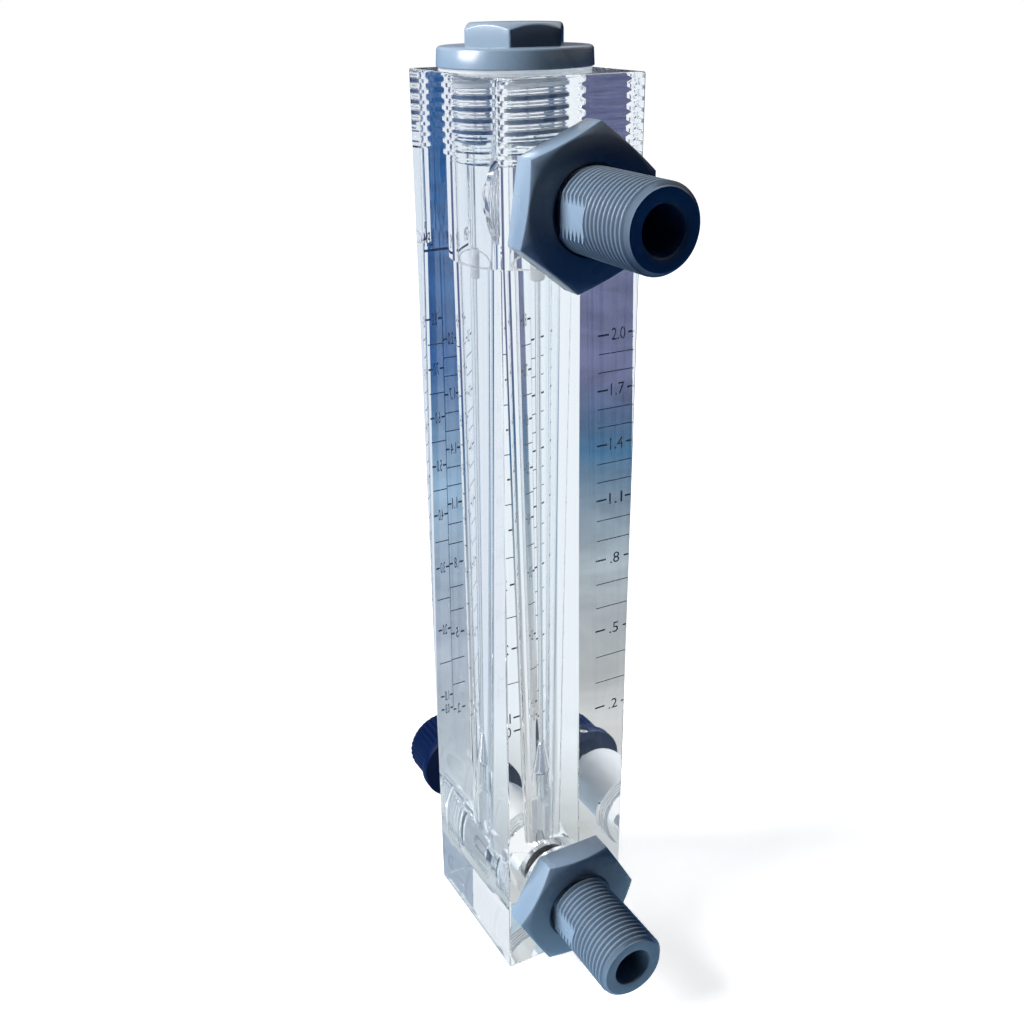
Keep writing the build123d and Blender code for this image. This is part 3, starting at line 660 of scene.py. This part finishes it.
def ink_text(name, body, x, z, height, width):
    """Generic lettering, read from the front: extruded text made into a mesh and set upright."""
    bpy.ops.object.text_add(location=(0, 0, 0))
    obj = bpy.context.object
    obj.name = name
    obj.data.body = body
    obj.data.align_x, obj.data.align_y = "CENTER", "CENTER"
    obj.data.extrude = 0.5
    obj.data.resolution_u = 3
    only(obj)
    bpy.ops.object.convert(target="MESH")
    low = [min(v.co[i] for v in obj.data.vertices) for i in (0, 1)]
    high = [max(v.co[i] for v in obj.data.vertices) for i in (0, 1)]
    wider, taller = width / (high[0] - low[0]), height / (high[1] - low[1])
    obj.scale = (wider, taller, INK_THICK)
    bpy.ops.object.transform_apply(location=True, rotation=True, scale=True)
    middle_x, middle_z = (low[0] + high[0]) / 2 * wider, (low[1] + high[1]) / 2 * taller
    obj.rotation_euler.x = math.pi / 2
    obj.location = (x - middle_x, INK_TOP + INK_THICK / 2, z - middle_z)
    bpy.ops.object.transform_apply(location=True, rotation=True, scale=True)
    return obj


def join_marks(name, marks):
    """Joins the marks of one column to a single piece."""
    bpy.ops.object.select_all(action="DESELECT")
    for mark in marks:
        mark.select_set(True)
    bpy.context.view_layer.objects.active = marks[0]
    bpy.ops.object.join()
    obj = bpy.context.object
    obj.name = obj.data.name = name
    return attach(clean_shell(obj), "meter_body")


# %% [markdown]
# Gallons a minute stand on the left, litres on the right. Both name one flow, so the litre rows follow from
# the heights of the gallon rows.

# %% Scale columns
GPM_HEIGHTS = {2.0: 152.2, 1.7: 139.0, 1.4: 125.5, 1.1: 111.4, 0.8: 95.35, 0.5: 75.6, 0.2: 53.0}
LPM_PER_GPM = 3.785


def scale_height(gallons):
    """Height of a flow on the scale in metres, straight between its labelled rows."""
    rows = sorted(GPM_HEIGHTS.items())
    low = max([row for row in rows[:-1] if row[0] <= gallons + 1e-9] or rows[:1])
    high = rows[rows.index(low) + 1]
    share = (gallons - low[0]) / (high[0] - low[0])
    return (low[1] + share * (high[1] - low[1])) * MM


def scale_column(name, side, labelled, lesser, unit):
    """One column of the scale: side is -1 for gallons on the left, +1 for litres on the right."""
    marks = []
    for text, gallons in labelled:
        z = scale_height(gallons)
        marks.append(ink_plate("tick", side * 0.15 * MM, side * 2.8 * MM, z, 0.45 * MM))
        marks.append(ink_plate("tick", side * 8.0 * MM, side * 10.9 * MM, z, 0.45 * MM))
        width = 3.7 * MM if len(text) > 2 else 2.6 * MM
        marks.append(ink_text("label", text, side * 5.4 * MM, z, 2.9 * MM, width))
    for gallons in lesser:
        marks.append(ink_plate("tick", side * 0.15 * MM, side * 10.7 * MM, scale_height(gallons), 0.22 * MM))
    marks.append(ink_text("unit", unit, side * 7.6 * MM, 175.0 * MM, 3.0 * MM, 5.8 * MM))
    return join_marks(name, marks)


gallon_labels = [(f"{g:.1f}".lstrip("0"), g) for g in GPM_HEIGHTS]
gallon_lesser = [g / 10 for g in range(2, 20) if g / 10 not in GPM_HEIGHTS]
litre_labels = [(f"{v:.1f}", v / LPM_PER_GPM) for v in (8, 7, 6, 5, 4, 3, 2, 1)] + [("0.8", 0.8 / LPM_PER_GPM)]
litre_lesser = [v / LPM_PER_GPM for v in (7.5, 6.5, 5.5, 4.5, 3.5, 2.5, 1.5)]
scale_pieces = [
    scale_column("scale_gallons", -1, gallon_labels, gallon_lesser, "GPM"),
    scale_column("scale_litres", 1, litre_labels, litre_lesser, "LPM"),
]
frame_marks = [
    ink_plate("rule", -10.7 * MM, 10.7 * MM, 172.55 * MM, 0.55 * MM),
    ink_plate("divider", -0.1 * MM, 0.1 * MM, 105.6 * MM, 103.0 * MM),
]
scale_pieces.append(join_marks("scale_rules", frame_marks))
print("Scale pieces:", {p.name: len(p.data.polygons) for p in scale_pieces})


# %% [markdown]
# Shaders are built from nodes. A few helpers make each kind of step one short line.

# %% Node helpers
def new_group(name, inputs, outputs):
    """A shader group with its sockets: inputs and outputs are (name, kind, default)."""
    group = bpy.data.node_groups.new(name, "ShaderNodeTree")
    for direction, sockets in (("INPUT", inputs), ("OUTPUT", outputs)):
        for label, kind, value in sockets:
            socket = group.interface.new_socket(label, in_out=direction, socket_type="NodeSocket" + kind)
            if direction == "INPUT":
                socket.default_value = value
    return group, group.nodes.new("NodeGroupInput"), group.nodes.new("NodeGroupOutput")


def node(tree, kind, links=(), **values):
    """A node with its values and its inputs' links set in one go."""
    made = tree.nodes.new("ShaderNode" + kind)
    for key, value in values.items():
        setattr(made, key, value)
    for socket, source in dict(links).items():
        if hasattr(source, "is_linked"):
            tree.links.new(source, made.inputs[socket])
        else:
            made.inputs[socket].default_value = source
    return made


def mixed(tree, share, first, second):
    """The first colour where share is 0, the second where it is 1."""
    return node(tree, "Mix", {"Factor": share, 6: first, 7: second}, data_type="RGBA").outputs[2]


def ranged(tree, value, low, high):
    """A share from 0 where the value is low to 1 where it is high."""
    return node(tree, "MapRange", {"Value": value, "From Min": low, "From Max": high}).outputs["Result"]


def reckoned(tree, operation, *values):
    """The result of one step of arithmetic."""
    return node(tree, "Math", dict(enumerate(values)), operation=operation).outputs[0]


# %% [markdown]
# Every material starts from the same few effects. They are kept as shader groups with named inputs, so that
# the grain on a nut and the grain on the knob come from one place and differ only in their values. A group
# gives out colours, values and normals alone, and the surface shader stays in the material.

# %% Shared effects
def give_surface(group, given, out, noise, depth, gloss_noise):
    """Connects a group's gloss and normal: relief from one noise, depth metres deep, uneven gloss from another."""
    gloss = reckoned(group, "MULTIPLY_ADD", gloss_noise, given.outputs["Unevenness"], given.outputs["Roughness"])
    bump = node(group, "Bump", {"Strength": given.outputs["Relief"], "Distance": depth, "Height": noise})
    group.links.new(gloss, out.inputs["Roughness"])
    group.links.new(bump.outputs["Normal"], out.inputs["Normal"])


SURFACE = [("Roughness", "Float", None), ("Normal", "Vector", None)]


def skin_group():
    """A moulded skin: slow drift of colour, fine grain in the normal, and uneven gloss."""
    group, given, out = new_group(
        "moulded_skin",
        [("Color", "Color", (0.5, 0.5, 0.5, 1)), ("Shade", "Color", (0.4, 0.4, 0.4, 1)), ("Grain", "Float", 900.0),
         ("Relief", "Float", 0.1), ("Roughness", "Float", 0.4), ("Unevenness", "Float", 0.1)],
        [("Color", "Color", None)] + SURFACE,
    )
    place = node(group, "TexCoord").outputs["Object"]
    drift = node(group, "TexNoise", {"Vector": place, "Scale": 55.0, "Detail": 3.0, "Roughness": 0.6}).outputs["Fac"]
    grain = node(group, "TexNoise", {"Vector": place, "Scale": given.outputs["Grain"], "Detail": 2.0}).outputs["Fac"]
    colour = mixed(group, ranged(group, drift, 0.35, 0.7), given.outputs["Color"], given.outputs["Shade"])
    group.links.new(colour, out.inputs["Color"])
    give_surface(group, given, out, grain, 0.0001, reckoned(group, "SUBTRACT", drift, 0.5))
    return group


def streak_group():
    """Fine marks left along one direction by a saw, a mill or a polishing wheel."""
    group, given, out = new_group(
        "tool_streaks",
        [("Across", "Vector", (1800.0, 1800.0, 40.0)), ("Relief", "Float", 0.1), ("Roughness", "Float", 0.1),
         ("Unevenness", "Float", 0.1)],
        [("Mask", "Float", None)] + SURFACE,
    )
    place = node(group, "TexCoord").outputs["Object"]
    stretched = node(group, "VectorMath", {0: place, 1: given.outputs["Across"]}, operation="MULTIPLY").outputs[0]
    noise = node(group, "TexNoise", {"Vector": stretched, "Scale": 1.0, "Detail": 3.0, "Roughness": 0.55})
    marks = noise.outputs["Fac"]
    group.links.new(marks, out.inputs["Mask"])
    give_surface(group, given, out, marks, 0.00005, marks)
    return group


SKIN, STREAKS = skin_group(), streak_group()
print("Shared effects:", SKIN.name, STREAKS.name)

# %% [markdown]
# The materials come next. Constants go on the shader's own sockets, and only what changes over a surface
# comes from a group. The clear acrylic is left almost without colour: in a block this thick, the faint blue
# tint builds up along the long paths by itself. The steel's colour is painted darker towards its outline, a
# painted reflection such as a polished piece shows in a bright room, and the grey PVC is dark to the light it
# would throw on its neighbours.

# %% Materials
MATERIALS = {}


def rgb(r, g, b):
    return (r, g, b, 1.0)


def material(name, group, values, **constants):
    """A Principled material that takes its colour, gloss and normal from a shared effect."""
    made = MATERIALS[name] = bpy.data.materials.new(name)
    made.use_nodes = True
    tree = made.node_tree
    shader = tree.nodes["Principled BSDF"]
    for socket, value in constants.items():
        shader.inputs[socket.replace("_", " ")].default_value = value
    effect = tree.nodes.new("ShaderNodeGroup")
    effect.node_tree = group
    for socket, value in values.items():
        effect.inputs[socket].default_value = value
    for source, target in (("Color", "Base Color"), ("Roughness", "Roughness"), ("Normal", "Normal")):
        if source in effect.outputs:
            tree.links.new(effect.outputs[source], shader.inputs[target])


def moulded(name, color, shade, grain, relief, roughness, unevenness=0.1, **constants):
    """A moulded material, whose colour drifts towards its shade."""
    skin = {"Color": color, "Shade": shade, "Grain": grain, "Relief": relief}
    material(name, SKIN, {**skin, "Roughness": roughness, "Unevenness": unevenness}, **constants)


def machined(name, color, across, relief, roughness, unevenness, **constants):
    """A machined material of one colour, with streaks so many to the metre across each axis."""
    streaks = {"Across": across, "Relief": relief, "Roughness": roughness, "Unevenness": unevenness}
    material(name, STREAKS, streaks, Base_Color=color, **constants)


machined("clear_acrylic", rgb(0.955, 0.975, 0.99), (900.0, 900.0, 12.0), relief=0.02, roughness=0.0,
         unevenness=0.02, Transmission_Weight=1.0, IOR=1.49)
machined("tapped_acrylic", rgb(0.97, 0.985, 0.995), (300.0, 300.0, 2500.0), relief=0.01, roughness=0.03,
         unevenness=0.05, Transmission_Weight=1.0, IOR=1.49)
machined("stainless_steel", rgb(0.86, 0.86, 0.85), (500.0, 500.0, 4000.0), relief=0.15, roughness=0.1,
         unevenness=0.12, Metallic=1.0)
machined("bright_chrome", rgb(0.78, 0.78, 0.77), (700.0, 700.0, 700.0), relief=0.03, roughness=0.05,
         unevenness=0.06, Metallic=1.0)
moulded("grey_pvc", rgb(0.24, 0.335, 0.455), rgb(0.215, 0.305, 0.415), 1500.0, relief=0.1, roughness=0.27,
        unevenness=0.12, IOR=1.5)
# A much darker copy of grey_pvc: painted shade for the plug's crests pressed on the acrylic.
moulded("pvc_in_painted_shade", rgb(0.03, 0.07, 0.15), rgb(0.06, 0.11, 0.2), 1500.0, relief=0.1, roughness=0.4)
moulded("black_plastic", rgb(0.001, 0.008, 0.045), rgb(0.002, 0.010, 0.050), 2000.0, relief=0.15,
        roughness=0.42, unevenness=0.15, Specular_IOR_Level=0.05)
# pale_acetal glows faintly by itself: painted light, standing for light that enters the milky plastic on its lit
# side.
moulded("pale_acetal", rgb(0.56, 0.56, 0.55), rgb(0.50, 0.50, 0.49), 1200.0, relief=0.08, roughness=0.3,
        unevenness=0.12, Emission_Color=rgb(0.78, 0.84, 0.88), Emission_Strength=0.24)
moulded("black_rubber", rgb(0.02, 0.02, 0.02), rgb(0.03, 0.03, 0.03), 2500.0, relief=0.2, roughness=0.55)
# clear_silicone glows faintly too: painted light, so that the gasket in the flange's shadow stays pale.
moulded("clear_silicone", rgb(0.94, 0.96, 0.98), rgb(0.90, 0.93, 0.96), 800.0, relief=0.1, roughness=0.35,
        Transmission_Weight=0.7, IOR=1.41, Emission_Color=rgb(0.80, 0.88, 0.96), Emission_Strength=0.15)
moulded("seal_tape", rgb(0.88, 0.89, 0.90), rgb(0.82, 0.84, 0.86), 1800.0, relief=0.1, roughness=0.45)
moulded("scale_ink", rgb(0.012, 0.013, 0.018), rgb(0.03, 0.032, 0.04), 4000.0, relief=0.05, roughness=0.5)
print("Materials:", ", ".join(MATERIALS))

# %% [markdown]
# Two materials need one step more, between the effect's colour and the shader.

# %% Rims and shades
def light_path(tree, *kinds):
    """1 for rays of these kinds, such as Is Camera Ray, and 0 for all others."""
    path = tree.nodes.new("ShaderNodeLightPath")
    share = path.outputs[kinds[0]]
    for kind in kinds[1:]:
        share = reckoned(tree, "MAXIMUM", share, path.outputs[kind])
    return share


def paint_rim_reflection(made, face_on, at_rim):
    """Painted reflection on polished metal: its colour is bright where it faces the eye and painted dark along its
    outline.
    """
    tree = made.node_tree
    facing = node(tree, "LayerWeight", {"Blend": 0.5}).outputs["Facing"]
    rim = mixed(tree, ranged(tree, facing, 0.45, 0.85), face_on, at_rim)
    tree.links.new(rim, tree.nodes["Principled BSDF"].inputs["Base Color"])


def deepen_shades(made, unseen):
    """Keeps a piece from lighting its neighbours, so that its shaded sides stay as deep as in the photograph."""
    tree = made.node_tree
    target = tree.nodes["Principled BSDF"].inputs["Base Color"]
    skin = target.links[0].from_socket
    tree.links.new(mixed(tree, light_path(tree, "Is Diffuse Ray"), skin, unseen), target)


# The steel's darker outline is a painted reflection.
paint_rim_reflection(MATERIALS["stainless_steel"], face_on=rgb(0.90, 0.90, 0.89), at_rim=rgb(0.08, 0.09, 0.12))
deepen_shades(MATERIALS["grey_pvc"], unseen=rgb(0.004, 0.012, 0.03))

# %% [markdown]
# Every piece is painted by its slot. White sealing tape fills the threads inside the block. Only the plug's
# crests have cut through it, and where they press on the acrylic they are painted in a much darker copy of
# the grey PVC: painted shade.

# %% Paint and tape
def paint(obj, *names):
    """Gives a piece its material, or several in slot order."""
    obj.data.materials.clear()
    for name in names:
        obj.data.materials.append(MATERIALS[name])
    return obj


slots = {part["node"]: part["material_slot"] for part in frame["record"]["subparts"]}
for obj in list(bpy.data.objects):
    if obj.type == "MESH" and "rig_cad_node" in obj.keys():
        paint(obj, slots[obj["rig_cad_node"]])
    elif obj.type == "MESH" and "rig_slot" in obj.keys():
        paint(obj, obj["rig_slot"])
for piece in scale_pieces:
    paint(piece, "scale_ink")
paint(block, "clear_acrylic", "tapped_acrylic")

# The plug's crests pressed on the acrylic take the painted shade material.
paint(plug, "grey_pvc", "seal_tape", "pvc_in_painted_shade")
TAPED_FROM, CREST_FROM, PRESSED_BELOW = 8.9 * MM, 10.2 * MM, block_top - 2.6 * MM
for face in plug.data.polygons:
    off_axis = math.hypot(face.center.x, face.center.y - bore_y)
    if SHANK_LOW < face.center.z < GASKET_TOP - 0.1 * MM and off_axis > TAPED_FROM:
        face.material_index = 2 if off_axis > CREST_FROM and face.center.z < PRESSED_BELOW else 1
for nipple, height in zip(nipples, heights.values()):
    paint(nipple, "grey_pvc", "seal_tape")
    for face in nipple.data.polygons:
        off_axis = math.hypot(face.center.x, face.center.z - height)
        face.material_index = int(face.center.y < rear_y - 0.5 * MM and off_axis > 7.3 * MM)
taped = sum(face.material_index > 0 for obj in [plug] + nipples for face in obj.data.polygons)
print("Taped faces:", taped)

# %% [markdown]
# The camera stands where a pinhole camera fitted to the block's edges stands, so the picture and the
# photograph line up. It is turned by its three axes, and the small roll of the hand-held camera is kept.

# %% Camera
AZIMUTH, ELEVATION, ROLL = (math.radians(a) for a in (151.3376, 24.1992, -0.6291))
level = math.cos(ELEVATION)
back = Vector((math.sin(AZIMUTH) * level, -math.cos(AZIMUTH) * level, math.sin(ELEVATION)))
right = Vector((0, 0, 1)).cross(back).normalized()
up = back.cross(right)
turned_right = right * math.cos(ROLL) + up * math.sin(ROLL)
turned_up = up * math.cos(ROLL) - right * math.sin(ROLL)
bpy.ops.object.camera_add(location=(0.120358, 0.213639, 0.224711))
camera = bpy.context.object
camera.rotation_euler = Matrix((turned_right, turned_up, back)).transposed().to_euler()
camera.data.lens, camera.data.sensor_width = 41.008, 36.0
camera.data.clip_start, camera.data.clip_end = 0.005, 50.0
bpy.context.scene.camera = camera
print("Camera in mm:", [round(v / MM) for v in camera.location], "lens", camera.data.lens)

# %% [markdown]
# The studio is white paper on a dark table in a bright room, as in the photograph. The camera sees a white
# sky, but clear plastic and gloss show what stands round the meter: a bright room above, dim behind the camera.
# To matt surfaces the sky is a deep blue, which keeps the sides turned from the lamp deep and cool.

# %% Sky
def along(tree, place, direction):
    """How far a place or a ray reaches along a direction."""
    return node(tree, "VectorMath", {0: place, 1: direction}, operation="DOT_PRODUCT").outputs["Value"]


WHITE = rgb(1, 1, 1)
towards_camera = Vector((back.x, back.y, 0)).normalized()
world = bpy.data.worlds.new("studio")
world.use_nodes = True
bpy.context.scene.world = world
room = world.node_tree
ray = node(room, "TexCoord").outputs["Generated"]
in_gloss = mixed(room, ranged(room, along(room, ray, (0, 0, 1)), 0.1, 0.35), rgb(0.004, 0.014, 0.05), WHITE)
behind_camera = ranged(room, along(room, ray, towards_camera), -0.2, 0.5)
in_plastic = mixed(room, behind_camera, WHITE, rgb(0.30, 0.34, 0.43))
colour = mixed(room, light_path(room, "Is Glossy Ray"), rgb(0.002, 0.012, 0.04), in_gloss)
colour = mixed(room, light_path(room, "Is Transmission Ray"), colour, in_plastic)
colour = mixed(room, light_path(room, "Is Camera Ray"), colour, WHITE)
room.links.new(colour, room.nodes["Background"].inputs["Color"])
print("Sky of", len(room.nodes), "nodes")

# %% [markdown]
# The strips down the block's flanks are mirror images of the floor. A flank mirrors the view in the X axis, so
# each strip looks along one line, one either way, and there the floor shows the plastic a dark mat on the paper,
# painted into its own glow for rays through the plastic alone: a painted reflection.

# %% Painted mats, as the plastic sees them
along_strips = Vector((towards_camera.x, -towards_camera.y, 0))
PAPER = rgb(0.90, 0.95, 0.98)
# What the plastic sees along that line: metres from the meter, and the colour of the painted mats there
PAINTED_MATS = [
    (-0.46, rgb(0.03, 0.11, 0.28)),
    (-0.26, rgb(0.28, 0.43, 0.56)),
    (-0.08, rgb(0.52, 0.57, 0.60)),
    (0.08, rgb(0.66, 0.66, 0.63)),
    (0.2, rgb(0.36, 0.42, 0.45)),
    (0.33, rgb(0.04, 0.13, 0.24)),
    (0.46, rgb(0.13, 0.14, 0.25)),
]
RAMP_REACH = 0.5
# Each painted mat widens by this share of its distance, and its edge fades between these distances in metres
PAINTED_MAT_SPREAD, PAINTED_MAT_EDGE = 0.2, (0.03, 0.06)


def painted_mats_on_paper(tree, place, reach):
    """Painted reflection: what the plastic sees of the floor, mottled dark mats along the strips' line and paper
    beside them.
    """
    ramp = node(tree, "ValToRGB", {"Fac": ranged(tree, along(tree, place, along_strips), -RAMP_REACH, RAMP_REACH)})
    stops = ramp.color_ramp.elements
    for stop, (metres, colour) in zip(stops, (PAINTED_MATS[0], PAINTED_MATS[-1])):
        stop.position, stop.color = metres + RAMP_REACH, colour
    for metres, colour in PAINTED_MATS[1:-1]:
        stops.new(metres + RAMP_REACH).color = colour
    fibres = {"Scale": 14.0, "Detail": 5.0, "Roughness": 0.6, "Distortion": 0.6}
    weave = node(tree, "TexNoise", {"Vector": place, **fibres})
    span = {"From Min": 0.35, "From Max": 0.65, "To Min": 0.7, "To Max": 1.2}
    mottled = node(tree, "MapRange", {"Value": weave.outputs["Fac"], **span}).outputs["Result"]
    mats = node(tree, "VectorMath", {0: ramp.outputs["Color"], "Scale": mottled}, operation="SCALE").outputs["Vector"]
    aside = reckoned(tree, "ABSOLUTE", along(tree, place, (along_strips.y, -along_strips.x, 0)))
    past_edge = ranged(tree, reckoned(tree, "MULTIPLY_ADD", reach, -PAINTED_MAT_SPREAD, aside), *PAINTED_MAT_EDGE)
    return mixed(tree, past_edge, mats, PAPER)


# %% [markdown]
# The camera sees the floor white out to the horizon, and the meter's shadow on it. Plastic and gloss see it by
# its own plain light, a painted reflection: the plastic sees the painted mats, and gloss sees a painted deep blue
# table beyond the paper.

# %% Floor
# Where the paper ends, and where the floor has faded to plain white for the camera, in metres
PAPER_EDGE, FADE_OUT = (0.08, 0.13), (0.25, 0.6)


def paper_on_table(name):
    """White with the shadow on it for the camera. For all other rays, paper on a dark table, with two dark mats, and
    for gloss and plastic it glows by itself as a painted reflection.
    """
    made = bpy.data.materials.new(name)
    made.use_nodes = True
    tree = made.node_tree
    tree.nodes.clear()
    place = node(tree, "TexCoord").outputs["Object"]
    reach = node(tree, "VectorMath", {0: place}, operation="LENGTH").outputs["Value"]
    through_plastic = painted_mats_on_paper(tree, place, reach)
    off_paper = ranged(tree, reach, *PAPER_EDGE)
    in_gloss = mixed(tree, off_paper, rgb(0.42, 0.65, 0.88), rgb(0.0, 0.10, 0.45))
    table = mixed(tree, off_paper, rgb(0.65, 0.86, 1.0), rgb(0.004, 0.02, 0.06))
    camera_ray = light_path(tree, "Is Camera Ray")
    matt = node(tree, "BsdfDiffuse", {"Color": mixed(tree, camera_ray, table, rgb(0.8, 0.8, 0.8))})
    white_out = mixed(tree, ranged(tree, reach, *FADE_OUT), rgb(0.80, 0.80, 0.80), WHITE)
    glow = node(tree, "Emission", {"Color": white_out, "Strength": camera_ray})
    lit = node(tree, "AddShader", {0: matt.outputs[0], 1: glow.outputs[0]})
    seen_colour = mixed(tree, light_path(tree, "Is Transmission Ray"), in_gloss, through_plastic)
    seen = node(tree, "Emission", {"Color": seen_colour})
    shown = light_path(tree, "Is Glossy Ray", "Is Transmission Ray")
    both = node(tree, "MixShader", {0: shown, 1: lit.outputs[0], 2: seen.outputs[0]})
    node(tree, "OutputMaterial", {"Surface": both.outputs[0]})
    return made


bpy.ops.object.select_all(action="DESELECT")
bpy.ops.mesh.primitive_plane_add(size=8)
floor = bpy.context.object
floor.name = "studio_floor"
floor.location.z = -0.1 * MM
floor.data.materials.append(paper_on_table("studio_floor"))
print("Floor of", len(floor.active_material.node_tree.nodes), "nodes")

# %% [markdown]
# One large soft lamp stands at the picture's left and above. Two boards shape the gloss: a black one behind
# the camera, and a narrow white one at the left, which draws the bright streak down the plug's flange.

# %% Boards and the lamp
def board(name, place, aim, width, height, colour, glow):
    """An upright board facing a point, unseen by the camera and by light that passes through the plastic."""
    bpy.ops.object.select_all(action="DESELECT")
    bpy.ops.mesh.primitive_plane_add(size=1, location=place)
    obj = bpy.context.object
    obj.name = name
    obj.scale = (width, height, 1)
    obj.rotation_euler = (Vector(aim) - Vector(place)).to_track_quat("Z", "Y").to_euler()
    made = bpy.data.materials.new(name)
    made.use_nodes = True
    made.node_tree.nodes.clear()
    light = node(made.node_tree, "Emission", {"Color": colour, "Strength": glow})
    node(made.node_tree, "OutputMaterial", {"Surface": light.outputs[0]})
    obj.data.materials.append(made)
    obj.visible_camera = obj.visible_transmission = obj.visible_shadow = False
    return obj


across_view = Vector((-right.x, -right.y, 0)).normalized()
black_place = towards_camera * 0.55 + Vector((0, 0, 0.5))
board("black_board", black_place, (0, 0, 0.5), 1.3, 1.0, rgb(0, 0, 0), glow=0.0)
white_place = (towards_camera * 0.28 + across_view * 0.96) * 0.4 + Vector((0, 0, 0.13))
white_board = board("white_board", white_place, (0, 0, 0.13), 0.05, 0.26, WHITE, glow=2.5)
white_board.visible_diffuse = False


def soft_lamp(name, place, aim, size, watts):
    """A square soft lamp aimed at a point."""
    bpy.ops.object.light_add(type="AREA", location=place)
    lamp = bpy.context.object
    lamp.name = name
    lamp.data.size, lamp.data.energy = size, watts
    lamp.rotation_euler = (Vector(aim) - Vector(place)).to_track_quat("-Z", "Y").to_euler()


lamp_place = across_view * 1.06 + towards_camera * 0.27 + Vector((0, 0, 0.82))
soft_lamp("key", lamp_place, (0, 0, 0.1), size=0.65, watts=30.0)
bpy.context.scene.view_settings.view_transform = "Standard"
cycles = bpy.context.scene.cycles
cycles.max_bounces, cycles.transmission_bounces, cycles.glossy_bounces, cycles.diffuse_bounces = 24, 24, 12, 4
